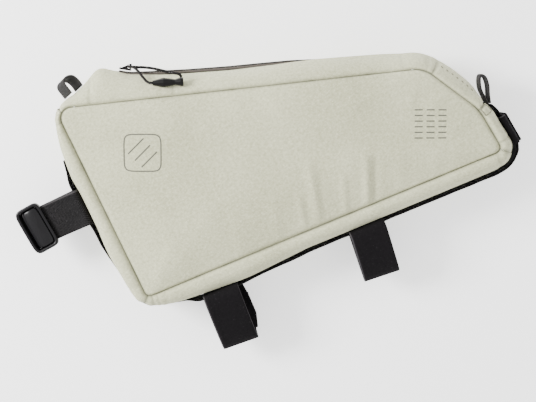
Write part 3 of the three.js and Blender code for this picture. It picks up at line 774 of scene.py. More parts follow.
class Groups:
    """Shader effects that several finishes share, each built once."""

    def __init__(self) -> None:
        """Builds the weave, twill, nap and handling groups."""
        self.weave = self._weave()
        self.twill = self._twill()
        self.nap = self._nap()
        self.handling = self._handling()

    @staticmethod
    def _weave() -> bpy.types.NodeTree:
        """Plain weave: warp and weft threads as two crossed sines, each over the other in turn."""
        g = Effect("plain_weave", Threads=1400.0)
        part = g.parts()
        turns = g.times(g.given["Threads"], math.pi)
        u, v = (g.math("SINE", g.times(part[k], turns)) for k in (0, 1))
        over = g.times(u, v)
        height = g.weighted((g.math("ABSOLUTE", over), 0.7), (over, 0.3))
        slub = g.noise(g.place, 420.0, 3.0)
        return g.finished(Height=height, Tone=g.weighted((slub, 0.6), (height, 0.4)))

    @staticmethod
    def _twill() -> bpy.types.NodeTree:
        """Herringbone webbing: slanted ribs that turn back at every stripe, and two edge cords."""
        g = Effect("webbing_weave", Width=0.03, Rib=0.0017)
        part = g.parts()
        full_turn, fine_per_metre = 2 * math.pi, 900
        stripe = g.math("PINGPONG", part[1], g.math("DIVIDE", g.given["Width"], 3.0))
        slant = g.math("ADD", part[0], stripe)
        rib = g.math("SINE", g.math("DIVIDE", g.times(slant, full_turn), g.given["Rib"]))
        fine = g.math("SINE", g.times(part[1], full_turn * fine_per_metre))
        height = g.weighted((rib, 0.38), (fine, 0.12))
        fuzz = g.noise(g.place, 900.0)
        tone = g.weighted((fuzz, 0.5), (height, 0.5))
        return g.finished(Height=g.math("ADD", height, 0.5), Tone=tone,
                          Edge=g.selvedge(part[1], 0.47))

    @staticmethod
    def _nap() -> bpy.types.NodeTree:
        """Brushed loops: fine noise over clumps of noise, with a bare selvedge at both edges."""
        g = Effect("loop_nap", Width=0.03)
        fine = g.noise(g.place, 1500.0, 4.0, 0.7)
        clump = g.noise(g.place, 380.0)
        return g.finished(Height=g.weighted((fine, 0.7), (clump, 0.3)),
                          Tone=g.weighted((fine, 0.6), (clump, 0.4)),
                          Edge=g.selvedge(g.parts()[1], 0.478))

    @staticmethod
    def _handling() -> bpy.types.NodeTree:
        """Handled cloth: broad cloudy tone, a mottled grain of uneven yarn and fine dust specks."""
        g = Effect("handling", Scale=14.0)
        pulled = g.add("ShaderNodeVectorMath", {"operation": "MULTIPLY"}, i0=g.place,
                       i1=(0.55, 1.5, 1.0)).outputs[0]
        mottle, yarn = g.noise(g.place, 620.0, 3.0, 0.6), g.noise(pulled, 900.0)
        dust = g.stretched(g.noise(g.place, 650.0, 1.0), 0.66, 0.78)
        return g.finished(Cloud=g.noise(g.place, g.given["Scale"], 4.0), Dust=dust,
                          Grain=g.weighted((mottle, 0.55), (yarn, 0.45)))


class Weave(Enum):
    """The surface that a cloth finish has."""

    PLAIN = "plain weave"
    WEBBING = "herringbone webbing"
    NAP = "brushed loops"


@dataclass(frozen=True)
class Finish:
    """What every finish has: its name, its two colours as display values, and its gloss."""

    name: str
    base: Colour
    shade: Colour
    roughness: float = 0.85
    specular: float = 0.25
    spread: tuple[float, float] = (-0.06, 0.06)

    def make(self, groups: Groups) -> Material:
        """The material: the finish's own colour and bump on a plain surface.

        Args:
            groups: the shared shader effects.

        Returns:
            The material.
        """
        material = bpy.data.materials.new(self.name)
        material.use_nodes = True
        g = Graph(material.node_tree)
        g.tree.nodes.clear()
        body = g.add("ShaderNodeTexCoord").outputs["Object"]
        colour, uneven, bump, sheen = self.surface(g, groups, body)
        low, high = (min(1.0, self.roughness + step) for step in self.spread)
        rough = g.between(uneven, low, high)
        shader = g.add("ShaderNodeBsdfPrincipled", None, Base_Color=colour, Roughness=rough,
                       Normal=bump, Specular_IOR_Level=self.specular, Sheen_Weight=sheen,
                       Sheen_Roughness=0.5)
        g.add("ShaderNodeOutputMaterial", None, Surface=shader.outputs[0])
        return material

    def surface(self, g: Graph, groups: Groups, body: Socket) -> Surface:
        """The finish's own part: its colour, what its roughness follows, its bump and its sheen."""
        raise NotImplementedError


@dataclass(frozen=True)
class Cloth(Finish):
    """A cloth finish: its weave, its sheen and its relief in metres."""

    weave: Weave = Weave.PLAIN
    sheen: float = 0.15
    relief: float = 0.00012
    threads: float = 1400.0
    width: float = 0.03
    dust: float = 0.25
    pale: int = 30
    # Colour of the shade painted into seam grooves and creases, laid on by the crease attribute.
    seam: Colour = (96, 97, 78)
    selvedge: int = 26

    def lighter(self, step: int) -> tuple[float, float, float, float]:
        """The base colour, lighter by a step in display values."""
        return linear(*(min(255, c + step) for c in self.base))

    def surface(self, g: Graph, groups: Groups, body: Socket) -> Surface:
        """Colour by weave, grain and cloud, painted shade in seam grooves and creases or pale
        edges, dust, and a woven bump.
        """
        group, values = {
            Weave.PLAIN: (groups.weave, {"Threads": self.threads}),
            Weave.WEBBING: (groups.twill, {"Width": self.width}),
            Weave.NAP: (groups.nap, {"Width": self.width}),
        }[self.weave]
        place = g.add("ShaderNodeUVMap", {"uv_map": "cloth"}).outputs[0]
        cloth = g.add("ShaderNodeGroup", {"node_tree": group}, Place=place, **values).outputs
        handled = g.add("ShaderNodeGroup", {"node_tree": groups.handling}, Place=body).outputs
        tone = g.weighted((cloth["Tone"], 0.4), (handled["Cloud"], 0.25), (handled["Grain"], 0.35))
        colour = g.mix(g.stretched(tone, 0.34, 0.66), linear(*self.shade), linear(*self.base))
        if self.weave is Weave.PLAIN:
            # Painted shade: the seam colour darkens the seam grooves, the strips' ends and the
            # folds by the crease attribute.
            painted_shade = g.add("ShaderNodeAttribute", {"attribute_name": "painted_shade"}).outputs["Fac"]
            colour = g.mix(g.times(painted_shade, 0.85), colour, linear(*self.seam))
        else:
            colour = g.mix(g.times(cloth["Edge"], 0.8), colour, self.lighter(self.selvedge))
        colour = g.mix(g.times(handled["Dust"], self.dust), colour, self.lighter(self.pale))
        bump = g.add("ShaderNodeBump", None, Height=cloth["Height"], Distance=self.relief,
                     Strength=0.8)
        return colour, handled["Cloud"], bump.outputs[0], self.sheen


@dataclass(frozen=True)
class Moulding(Finish):
    """A moulded plastic finish, paler where it is handled, with the fine grain of its mould."""

    spread: tuple[float, float] = (-0.06, 0.08)
    grain: float = 700.0
    relief: float = 0.00004

    def surface(self, g: Graph, groups: Groups, body: Socket) -> Surface:
        """Colour by a cloud, and roughness and bump by the grain."""
        handled = g.add("ShaderNodeGroup", {"node_tree": groups.handling}, Place=body, Scale=60.0)
        colour = g.mix(handled.outputs["Cloud"], linear(*self.base), linear(*self.shade))
        grain = g.noise(body, self.grain, 3.0, 0.6)
        bump = g.add("ShaderNodeBump", None, Height=grain, Distance=self.relief, Strength=0.6)
        return colour, grain, bump.outputs[0], 0.0


SHELL_CLOTH = Cloth("shell_cloth", (217, 217, 184), (155, 155, 124), 0.82)
PRINT = Cloth("reflective_print", (92, 92, 83), (80, 80, 72), 0.5, sheen=0.0, relief=0.00004)
# The gusset's seam colour is painted shade too, though its bands carry no crease attribute.
GUSSET_CLOTH = Cloth("gusset_cloth", (22, 21, 22), (14, 13, 14), specular=0.1, sheen=0.0,
                     seam=(8, 8, 8))
WEBBING_CLOTH = Cloth("webbing", (46, 44, 45), (4, 4, 4), specular=0.12, weave=Weave.WEBBING,
                      sheen=0.0, relief=0.0004, selvedge=12)
NARROW_WEBBING = Cloth("narrow_webbing", (34, 31, 31), (14, 12, 12), weave=Weave.WEBBING,
                       sheen=0.05, relief=0.0003, width=0.014, selvedge=30)
NAP_CLOTH = Cloth("loop_cloth", (22, 20, 22), (7, 6, 7), 0.95, 0.08, weave=Weave.NAP, sheen=0.02,
                  relief=0.0006, dust=0.4, selvedge=42)
TAPE_CLOTH = Cloth("zip_tape_cloth", (92, 86, 80), (70, 66, 61), sheen=0.05, threads=1800)
CORD_CLOTH = Cloth("braided_cord", (26, 24, 23), (8, 7, 7), specular=0.15, weave=Weave.WEBBING,
                   sheen=0.0, relief=0.0003, width=0.0034, dust=0.8, pale=85)
THREAD = Cloth("thread", (134, 133, 112), (118, 117, 98), sheen=0.05, threads=2500)
BUCKLE_PLASTIC = Moulding("buckle_plastic", (10, 9, 11), (18, 17, 19), 0.3, 0.22)
PULLER_PLASTIC = Moulding("puller_plastic", (9, 8, 8), (17, 16, 15), 0.42, 0.15)
COIL_PLASTIC = Moulding("coil_plastic", (66, 61, 57), (52, 48, 45), 0.5, 0.15)
FINISHES = (SHELL_CLOTH, PRINT, GUSSET_CLOTH, WEBBING_CLOTH, NARROW_WEBBING, NAP_CLOTH, TAPE_CLOTH,
            CORD_CLOTH, THREAD, BUCKLE_PLASTIC, PULLER_PLASTIC, COIL_PLASTIC)


class Finishes:
    """Every finish of the bag, made once."""

    def __init__(self) -> None:
        """Builds the shared groups and the materials."""
        groups = Groups()
        self._made = {look.name: look.make(groups) for look in FINISHES}

    def __getitem__(self, look: Finish) -> Material:
        """The material of a finish."""
        return self._made[look.name]


@dataclass
class Shell:
    """Front and back panels, and the border strips round them."""

    rim_steps: int = 440
    rings: int = 62
    columns: int = 25
    centre: tuple[float, float] = (125.46, 69.72)
    tuck: float = 1.7
    tuck_width: float = 1.6
    # Half width of the painted shade along the seams, in mm.
    shade_band_width: float = 0.75
    flat_share: float = 0.9
    zip_edge: float = 3.5
    swell: float = 1.9
    swell_reach: tuple[float, float] = (40, 52)
    zip_roll: float = 1.3
    roll: float = 2.1
    roll_share: float = 0.7
    pucker: float = 0.3
    pucker_waves: tuple[float, float] = (7.0, 17.0)
    pucker_at: float = 2.2
    pucker_width: float = 2.4
    sag: float = 0.45
    sag_wave: float = 38.0
    end_pinch: float = 1.2
    end_width: float = 1.3
    drawn_back: Table = (
        (0, 0), (0.4, 0), (0.5, 1.6), (0.6, 2.3), (0.76, 2.3), (0.84, 0.8), (0.88, 0), (1, 0))
    pinches: tuple[tuple[Run, float, float, float], ...] = (
        (TOP, 47.0, 1.5, 1.5), (TOP, 52.5, 2.0, 0.6), (TOP, 70.0, 2.0, 0.25),
        (TOP, 252.0, 3.0, 0.5), (TOP, 318.0, 3.0, 0.7),
        (BOTTOM, 3.0, 1.3, 0.9), (BOTTOM, 7.0, 1.5, 0.5), (BOTTOM, 12.5, 2.0, 0.35),
        (BOTTOM, 299.0, 1.6, 0.7), (RIGHT, 5.0, 1.3, 0.8), (RIGHT, 31.0, 2.0, 0.3),
        (LEFT, 2.5, 1.4, 1.1), (LEFT, 8.0, 2.0, 0.7), (LEFT, 150.0, 2.5, 0.3),
        (LEFT, 163.0, 1.8, 0.4), (LEFT, 168.0, 1.3, 0.9),
    )
    wrinkles: tuple[tuple[float, ...], ...] = (
        (149, 0, 161, 54, 3.8, 2.0), (137, 0, 143, 30, 2.6, 1.2), (171, -4, 182, 34, 2.6, 1.5),
        (188, -6, 206, 44, 3.0, 2.0), (194, -4, 212, 40, 2.2, -1.1), (178, -2, 194, 52, 5.0, 0.5),
        (114, 0, 124, 38, 4.5, 0.6), (218, -2, 232, 34, 4.5, 0.5), (84, 0, 92, 40, 6.0, 0.5),
        (246, -2, 260, 26, 4.0, 0.5),
        (40, 4, 34, 60, 9.0, 0.6), (62, 150, 84, 104, 9.0, 0.6), (150, 122, 160, 84, 8.0, 0.5),
        (214, 100, 206, 70, 6.0, 0.5), (283, 60, 262, 52, 4.0, 0.7), (292, 34, 268, 30, 4.0, 0.6),
        (-6, 148, 24, 128, 4.0, 0.7), (8, 8, 40, 34, 4.0, 0.6), (262, 76, 246, 56, 3.5, 0.6),
    )

    @staticmethod
    def rim(reach: Array) -> Array:
        """The panels' rim at lengths along the seam: the seam, less a gap."""
        point, normal = SEAM.at(reach)
        return point - normal * GAP

    def share(self, x: Array, y: Array) -> Array:
        """Share of the way from the panel's centre to its rim, along the ray through each place."""
        rim = self.rim(SEAM.lengths(1500)) - np.array(self.centre)
        angle = np.arctan2(rim[:, 1], rim[:, 0])
        order = np.argsort(angle)
        radius = np.linalg.norm(rim, axis=1)[order]
        angle = angle[order]
        wrapped = np.concatenate([angle - 2 * math.pi, angle, angle + 2 * math.pi])
        dx, dy = x - self.centre[0], y - self.centre[1]
        far = np.interp(np.arctan2(dy, dx), wrapped, np.tile(radius, 3))
        return np.hypot(dx, dy) / far

    def front_height(self, x: Array, y: Array, share: Array) -> Array:
        """Height of the front panel.

        A crown that falls with the cube of the share, tucked down by a bell beside the seam,
        with soft wrinkles as ridges and a slow unevenness of crossed smooth noise.

        Args:
            x: places, in mm.
            y: places, in mm.
            share: share of the way to the rim at each place.

        Returns:
            Height at each place, in mm.
        """
        z = FRONT_SEAM + CROWN * (1 - share ** 3)
        tiny, far, smooth_rim = 1e-6, 50.0, 5.0
        from_centre = np.hypot(x - self.centre[0], y - self.centre[1])
        away = (1 - share) * from_centre / np.maximum(share, tiny)
        away = np.where(share < tiny, far, away)
        z = z - self.tuck * np.exp(-(away / self.tuck_width) ** 2)
        inside = np.clip(away / smooth_rim, 0, 1)
        for *line, width, height in self.wrinkles:
            z = z + inside * height * ridge(x, y, line, width)
        slow = smooth_noise(x + 0.4 * y, 34.0, 5) * smooth_noise(y - 0.3 * x, 41.0, 6)
        fine = smooth_noise(x - 0.2 * y, 13.0, 7) * smooth_noise(y + 0.5 * x, 19.0, 8)
        return z + inside * (0.7 * slow + 0.28 * fine)

    def seam_shade(self, off: Array, reach: Array) -> Array:
        """Weight of the shade painted along the seam: a bell of the distance off it, uneven along.
        """
        uneven = 0.8 + 0.2 * smooth_noise(reach, 9.0, 11)
        return np.exp(-(off / self.shade_band_width) ** 2) * uneven[:, None]

    def panel(self, side: Side) -> Triple:
        """Outer and inner surface of a panel, as rays from its centre to its rim.

        The rim's stations are even along the seam, the rings crowd towards the rim as
        1 - (1 - t) to the power 1.6, and the back panel is flat up to its flat share of the way,
        then rises with the square of the rest.

        Args:
            side: which panel.

        Returns:
            Outer and inner points, rays by rings by 3, in mm, and the weight of painted shade along
            the seam at each outer point.
        """
        reach = SEAM.lengths(self.rim_steps)
        centre = np.array(self.centre)
        ray = self.rim(reach) - centre
        shares = 1 - (1 - np.linspace(0, 1, self.rings)) ** 1.6
        few = np.linspace(0, 1, 9)
        flat, flat_in = (centre + ray[:, None] * t[:, None] for t in (shares, few))
        s = np.broadcast_to(shares, flat.shape[:2])
        away = (1 - s) * np.linalg.norm(ray, axis=1)[:, None]
        if side is Side.FRONT:
            z = self.front_height(flat[..., 0], flat[..., 1], s)
            thinned = 0.4
            z_in = FRONT_SEAM + CROWN * (1 - few ** 3) - WALL - thinned
        else:
            flat_to = self.flat_share
            rise, rise_in = (BACK_RISE * np.clip((t - flat_to) / (1 - flat_to), 0, 1) ** 2
                             for t in (s, few))
            lip, lip_width = 0.8, 1.3
            z = rise + lip * np.exp(-(away / lip_width) ** 2)
            z_in = WALL + rise_in
        return with_height(flat, z), with_height(flat_in, z_in), self.seam_shade(away, reach)

    def strip(self, run: Run, side: Side, reach: Array, t: Array) -> Triple:
        """Outer and inner surface of a border strip.

        Across the strip the line is part quarter ellipse and part straight slope, lifted by a
        half sine for its roll and swelled past its edge at the tall end's lower corner. It is
        tucked in beside the seams by bells, puckered along them by smooth noise, and pinched
        at the corner creases. Along the zip the front strip's edge is drawn back from the tape.

        Args:
            run: the stretch of the seam.
            side: front or back.
            reach: lengths along the seam, in mm.
            t: shares of the way across the strip, from the seam to its other edge.

        Returns:
            Outer and inner points, stations by points by 3, in mm, and the weight of painted shade
            beside the seams, at the run's ends and along the pinched folds at each outer point.
        """
        zip_side = run is TOP
        edge = self.zip_edge if zip_side else GUSSET_WIDTH / 2
        fullness, roll = (0.5, self.zip_roll) if zip_side else (1.0, self.roll)
        point, normal = SEAM.at(reach)
        out = run.bulge(reach)[:, None]
        rise = SEAM_SPAN / 2 - edge
        t = np.asarray(t)[None]
        seed = 20 + 2 * RUNS.index(run) + (side is Side.BACK)
        first, last = run.span
        swell = self.swell * low_corner(run, reach, *self.swell_reach)[:, None]
        seam_end = np.minimum(reach - first, last - reach)[:, None]
        if zip_side and side is Side.FRONT:
            out = out - looked_up(run.share(reach), self.drawn_back)[:, None] * t ** 2

        filled = 9

        def place(wall: float, detail: float) -> Array:
            """The strip's line at a depth under its outer face, with its share of the detail."""
            full = fullness + (1 - fullness) * np.exp(-(seam_end / filled) ** 2)
            slope = math.pi / 2 * t
            o = (out - wall) * ((1 - full) * t + full * np.sin(slope))
            o = o + swell * np.sin(math.pi * t ** 1.4) ** 2
            lift = roll * np.sin(math.pi * np.minimum(1, t / self.roll_share))
            up = (rise - wall) * ((1 - full) * (1 - t) + full * np.cos(slope)) + lift
            s = reach[:, None]
            short, long = self.pucker_waves
            pucker = self.pucker * (smooth_noise(s, short, seed) + smooth_noise(s, long, seed + 40))
            belly = np.sin(math.pi * t)
            sag = self.sag * smooth_noise(s + 5 * t, self.sag_wave, seed + 60) * belly
            dent = (pucker * np.exp(-((o - self.pucker_at) / self.pucker_width) ** 2) + sag
                    - self.tuck * np.exp(-(o / self.tuck_width) ** 2))
            dent = dent - self.pinched(run, reach, 1.0)[:, None] * (0.25 + belly)
            ends = np.exp(-(seam_end / self.end_width) ** 2)
            dent = detail * (dent - self.end_pinch * ends * (0.3 + belly))
            o, z = o + dent * np.sin(slope), edge + up + dent * np.cos(slope)
            xy = point[:, None] + normal[:, None] * o[..., None]
            return with_height(xy, MIDDLE + side.value * z)

        outer = place(0.0, 1.0)
        # Painted shade: darker bands beside the seam, at the run's ends where the strips meet and
        # along the pinched folds, fading across the strip.
        off = np.linalg.norm(outer[..., :2] - point[:, None], axis=-1)
        fade = 1 - 0.75 * t
        line_width, line_spread, depth = 0.7, 0.45, 0.8
        ends = np.exp(-(seam_end / line_width) ** 2) * fade
        fold_shade = np.clip(depth * self.pinched(run, reach, line_spread), 0, 1)[:, None] * fade
        painted_shade = np.maximum(self.seam_shade(off, reach), np.maximum(ends, fold_shade))
        return outer, place(WALL, 0.6), painted_shade

    def pinched(self, run: Run, reach: Array, spread: float) -> Array:
        """Depth of the pinches along a run, in mm: a bell at each, its width times the spread."""
        first, _ = run.span
        return sum(depth * np.exp(-((reach - first - at) / (width * spread)) ** 2)
                   for where, at, width, depth in self.pinches if where is run)

    def build(self, finishes: Finishes) -> None:
        """Makes the two panels and the eight strips."""
        look = finishes[SHELL_CLOTH]
        across = np.linspace(0, 1, self.columns) ** 1.4
        for side in Side:
            name = side.name.lower()
            outer, inner, painted_shade = self.panel(side)
            piece = Mesher.wall(f"panel_{name}", outer, inner, closed=True, sharp=60, painted_shade=painted_shade)
            self.planar(piece)
            self.merge_poles(piece)
            dress(piece, look, "shell_fabric", f"{name}_panel")
            for run in RUNS:
                outer, inner, painted_shade = self.strip(run, side, run.lengths(1.0, cut=0.03), across)
                piece = Mesher.wall(f"border_{name}_{run.name}", outer, inner, sharp=60,
                                    painted_shade=painted_shade)
                dress(piece, look, "shell_fabric", f"{name}_strip_{run.name}")

    @staticmethod
    def planar(piece: Thing) -> None:
        """Lays the cloth of a nearly flat piece along X and Y, in metres."""
        mesh = piece.data
        co = np.zeros(len(mesh.vertices) * 3, np.float32)
        mesh.vertices.foreach_get("co", co)
        index = np.zeros(len(mesh.loops), np.int32)
        mesh.loops.foreach_get("vertex_index", index)
        mesh.uv_layers["cloth"].data.foreach_set("uv", co.reshape(-1, 3)[index, :2].ravel())

    @staticmethod
    def merge_poles(piece: Thing) -> None:
        """Merges the points that coincide at a panel's two centres."""
        edit = bmesh.new()
        edit.from_mesh(piece.data)
        bmesh.ops.remove_doubles(edit, verts=edit.verts, dist=1e-5)
        edit.to_mesh(piece.data)
        edit.free()
        piece.data.set_sharp_from_angle(angle=math.radians(60))


def upright_band(reach: Array, inner: Array, outer: Array, half: float) -> Pair:
    """Upright band between two distances off the seam, thinned out towards its edges.

    Args:
        reach: lengths along the seam.
        inner: distance of its inner face.
        outer: distance of its outer face.
        half: half its width.

    Returns:
        Outer and inner points.
    """
    point, normal = SEAM.at(reach)
    right = np.array([(0.15, 0), (0.45, 0), (0.75, 0), (0.93, 0), (0.985, 0.25), (1, 0.55)])
    w, thinned = np.vstack([right[::-1] * [-1, 1], right]).T

    def face(off: Array) -> Array:
        """One face of the band."""
        return with_height(point[:, None] + normal[:, None] * off[..., None], MIDDLE + w * half)

    return face(outer[:, None] - thinned), face(inner[:, None] + thinned)


@dataclass(frozen=True)
class Keeper:
    """Webbing along a run: the shares where it starts and ends, and how slack it lies, in mm."""

    run: Run
    start: float
    end: float
    slack: Table


@dataclass
class Sides:
    """Dark gusset between the border strips, and the keeper webbing sewn along it."""

    slack: float = 0.9
    margin: float = 1.5
    ramp: float = 13.0
    facing: float = 0.7
    wobble: float = 0.15
    pressed: float = 0.8
    corner_reach: tuple[float, float] = (30, 45)
    keepers: tuple[Keeper, ...] = (
        Keeper(BOTTOM, 0.0, 1.0, ((0, 0), (0.1, 0), (0.3, 0.3), (0.41, 1.5), (0.5, 1.2),
                                  (0.56, 0.6), (0.7, 1.4), (0.85, 1.5), (0.95, 1.9), (1, 2.1))),
        Keeper(RIGHT, 0.0, 0.9, ((0, 2.1), (0.2, 2.0), (0.6, 1.2), (0.8, 0.2), (0.9, -0.6))),
        Keeper(LEFT, 0.22, 1.0, ((0.22, -0.8), (0.28, 0), (0.35, 2.4), (0.55, 2.4), (0.62, 1.1),
                                 (0.75, 0.4), (0.88, 0), (1, 0))),
    )

    def face(self, keeper: Keeper, reach: Array, corner: Array) -> Array:
        """Inner face of a keeper off the seam: near the gusset, arched over each strap.

        Beside a strap the arch is the flat plane over it; past its margin it comes down to the
        gusset along a smooth step.

        Args:
            keeper: which keeper.
            reach: lengths along the seam, in mm.
            corner: nearness to the low corner at each length, where the webbing is drawn tight.

        Returns:
            Distance off the seam at each length, in mm.
        """
        run = keeper.run
        point, normal = SEAM.at(reach)
        extra = looked_up(run.share(reach), keeper.slack)
        face = rest = run.bulge(reach) + GAP + self.slack * (1 - corner) + extra
        for item in PASSES:
            seat = item.seat()
            beyond = np.abs(reach - item.middle) - item.width / 2 - self.margin
            t = eased(1 - np.clip(beyond / self.ramp, 0, 1))
            facing = normal @ seat.across[:2]
            lean = (point - seat.origin[:2]) @ seat.across[:2]
            arch = (seat.over + GAP - lean) / np.maximum(facing, self.facing)
            raised = rest * (1 - t) + arch * t
            face = np.where((t > 0) & (facing >= self.facing), np.maximum(face, raised), face)
        return blurred(face, 2)

    def build(self, finishes: Finishes) -> None:
        """Makes the gusset and the keepers."""
        for run in (BOTTOM, RIGHT, LEFT):
            reach = run.lengths(2.0, cut=0.0)
            out = run.bulge(reach)
            piece = Mesher.wall(f"gusset_band_{run.name}",
                                *upright_band(reach, out - WALL, out, GUSSET_WIDTH / 2 - GAP))
            dress(piece, finishes[GUSSET_CLOTH], "webbing", f"gusset_{run.name}")
        for keeper in self.keepers:
            run = keeper.run
            reach = run.lengths(1.0, cut=0.0, start=keeper.start, end=keeper.end)
            corner = low_corner(run, reach, *self.corner_reach)
            face = self.face(keeper, reach, corner)
            wobble = self.wobble * smooth_noise(reach, 11.0, 90 + RUNS.index(run))
            wall = KEEPER_WALL + wobble - self.pressed * corner
            piece = Mesher.wall(f"keeper_webbing_{run.name}",
                                *upright_band(reach, face, face + wall, KEEPER_WIDTH / 2))
            dress(piece, finishes[WEBBING_CLOTH], "webbing", f"keeper_{run.name}")


@dataclass
class Zip:
    """Zip along the ridge: its tape, its coil, the cap over its end, and its slider's cord."""

    half: float = 3.2
    starts: float = 0.06
    ends: float = 0.862
    coil_width: float = 5.0
    coil_height: float = 1.3
    pitch: float = 1.2
    wire: float = 0.5
    cord_radius: float = 1.1
    sunk: Table = ((0, 1.7), (0.36, 1.7), (0.46, 0.3), (0.55, 0), (1, 0))
    cord_route: tuple[Point, ...] = (
        (70.9, 155.1, 50.6), (68.8, 156.2, 49.9), (67.1, 158.3, 47.9), (65.9, 161.1, 45.0),
        (64.8, 164.2, 41.8), (63.6, 167.5, 38.4), (62.2, 170.6, 35.0), (60.4, 172.9, 32.9),
        (57.9, 174.3, 31.5), (56.8, 174.9, 28.5), (57.9, 174.3, 25.4), (60.6, 173.0, 24.2),
        (64.2, 171.3, 25.8), (68.4, 169.4, 29.4), (72.6, 167.2, 34.0), (77.0, 164.5, 38.7),
        (81.4, 161.4, 43.0), (85.6, 158.4, 46.8), (89.4, 156.0, 50.0), (92.4, 154.1, 52.2),
        (93.7, 152.4, 52.8), (93.9, 150.9, 52.5),
    )

    def make_cord(self, finishes: Finishes) -> None:
        path = catmull_rom(np.array(self.cord_route), 220)
        piece = Mesher.tube("cord_of_pull", path, self.cord_radius, 12)
        dress(piece, finishes[CORD_CLOTH], "cord", "pull_cord")
        pull = refinished("pull_end", finishes[PULLER_PLASTIC])

    def band(self, start: float, end: float) -> Pair:
        """Band along the ridge between two shares of the run; where it sinks, both faces do."""
        reach = TOP.lengths(1.5, cut=0.6, start=start, end=end)
        outer = TOP.bulge(reach) - self.depth(reach)
        return upright_band(reach, outer - WALL, outer, self.half)

    def depth(self, reach: Array) -> Array:
        """How far the closed zip sinks into the ridge, in mm: the table, with its corners eased."""
        steps, ease = 400, 16
        grid = np.linspace(0, 1, steps)
        return np.interp(TOP.share(reach), grid, blurred(looked_up(grid, self.sunk), ease))

    def coil(self) -> Pair:
        """The coil: two flattened helices of fine wire, half a turn apart, along the ridge.

        Each turns in an ellipse as wide as half the coil and as high as the coil; its place
        along the ridge is one pitch per turn.

        Returns:
            Points in mm and quads.
        """
        overlap, inset, outset, short = 0.1, 0.1, 0.25, 0.8
        low, high = TOP.reach(self.starts), TOP.reach(self.ends) - short
        turns = (high - low) / self.pitch
        angle = np.linspace(0, 2 * math.pi * turns, int(turns * 10))
        quarter = self.coil_width / 4
        parts = []
        for sign, lag in ((-1, 0.0), (1, 0.5)):
            reach = np.minimum(low + self.pitch * (angle / (2 * math.pi) + lag), high)
            point, normal = SEAM.at(reach)
            middle = TOP.bulge(reach) - self.depth(reach) + self.coil_height / 2 - overlap
            o = middle + (self.coil_height / 2 - self.wire) * np.sin(angle)
            across = sign * (quarter - inset) + (quarter - self.wire + outset) * np.cos(angle)
            path = with_height(point + normal * o[:, None], MIDDLE + across)
            points, faces, _ = Mesher.tube_arrays(path, self.wire, 5)
            parts.append((points, faces[:-2]))
        return Mesher.joined(parts)

    def build(self, finishes: Finishes) -> None:
        """Makes the tape, the coil and the end cap, and gives the slider its finish."""
        cut = 0.0005
        dress(Mesher.wall("zip_tape_cloth", *self.band(0, self.ends - cut)), finishes[TAPE_CLOTH],
              "zip_tape", "zip_tape")
        dress(Mesher.wall("zip_cap", *self.band(self.ends + cut, 1)), finishes[SHELL_CLOTH],
              "shell_fabric", "zip_end_cap")
        dress(Mesher.build("zip_teeth", *self.coil(), sharp=80), finishes[COIL_PLASTIC],
              "zip_tape", "zip_coil")
        refinished("zip_slider", finishes[PULLER_PLASTIC])


@dataclass
class HookStrap:
    """A hook-and-loop strap closed on itself round where the frame tube goes."""

    name: str
    item: Pass
    reach: float = 45.0
    skew: float = -0.5
    back: float = -0.3
    lean: float = 0.07
    rows: tuple[Point, ...] = (
        (0.3, -0.66, 1), (0.58, -0.47, 1), (0.88, -0.22, 1), (0.985, -0.06, 0.6), (0.97, 0.12, 0.3),
        (0.84, 0.3, 0), (0.55, 0.55, 0), (0.24, 0.75, 0), (0.1, 0.78, 0), (0.015, 0.66, 0),
        (0, 0.4, 0), (0, 0, 0), (0, -0.4, 0), (0.015, -0.66, 0), (0.1, -0.76, 0), (0.3, -0.66, 0),
        (0.58, -0.47, 0), (0.86, -0.23, 0),
    )

    def build(self, finishes: Finishes) -> None:
        """Makes the strap: its out shares follow the reach, its up shares the seams' half span."""
        seat = self.item.seat()
        wall = self.item.wall
        table = np.array(self.rows)
        line = np.stack([seat.under + wall / 2 + table[:, 0] * self.reach,
                         table[:, 1] * SEAM_SPAN / 2 - table[:, 2] * (wall + GAP)], -1)
        skew = ((0, self.back), (0.2, 0), (0.72, 0), (0.84, self.back),
                (0.93, self.back + self.skew / 2), (1, self.skew))
        outer, inner = bent_strip(line, wall, self.item.width, seat, 150, skew, lean=self.lean)
        dress(Mesher.wall(f"{self.name}_cloth", outer, inner, sharp=70), finishes[NAP_CLOTH],
              "hook_and_loop", self.name)


@dataclass
class EndStrap:
    """The short strap closed flat round the keeper at the narrow end."""

    item: Pass = STRAP_3
    rows: Table = (
        (2, 0.42), (2, 0), (2, -0.42), (1.6, -0.66), (0.4, -0.78), (-0.7, -0.64), (-1, -0.3),
        (-1, 0.3), (-0.8, 0.62), (0, 0.74), (0.85, 0.6), (1, 0.3), (1, -0.4),
    )

    def build(self, finishes: Finishes) -> None:
        """Makes the strap; a layer of -1 is inside the keeper, 1 and 2 are outside it."""
        seat = self.item.seat()
        wall = self.item.wall
        inside = seat.under + wall / 2
        outside = seat.over + GAP + KEEPER_WALL + GAP + wall / 2
        layer, up = np.array(self.rows).T
        place = np.where(layer < 1, inside + (outside - inside) * (layer + 1) / 2,
                         outside + (layer - 1) * (wall + GAP))
        line = np.stack([place, up * SEAM_SPAN / 2], -1)
        outer, inner = bent_strip(line, wall, self.item.width, seat, 110)
        dress(Mesher.wall("strap_3_cloth", outer, inner, sharp=70), finishes[NAP_CLOTH],
              "hook_and_loop", "strap_3")


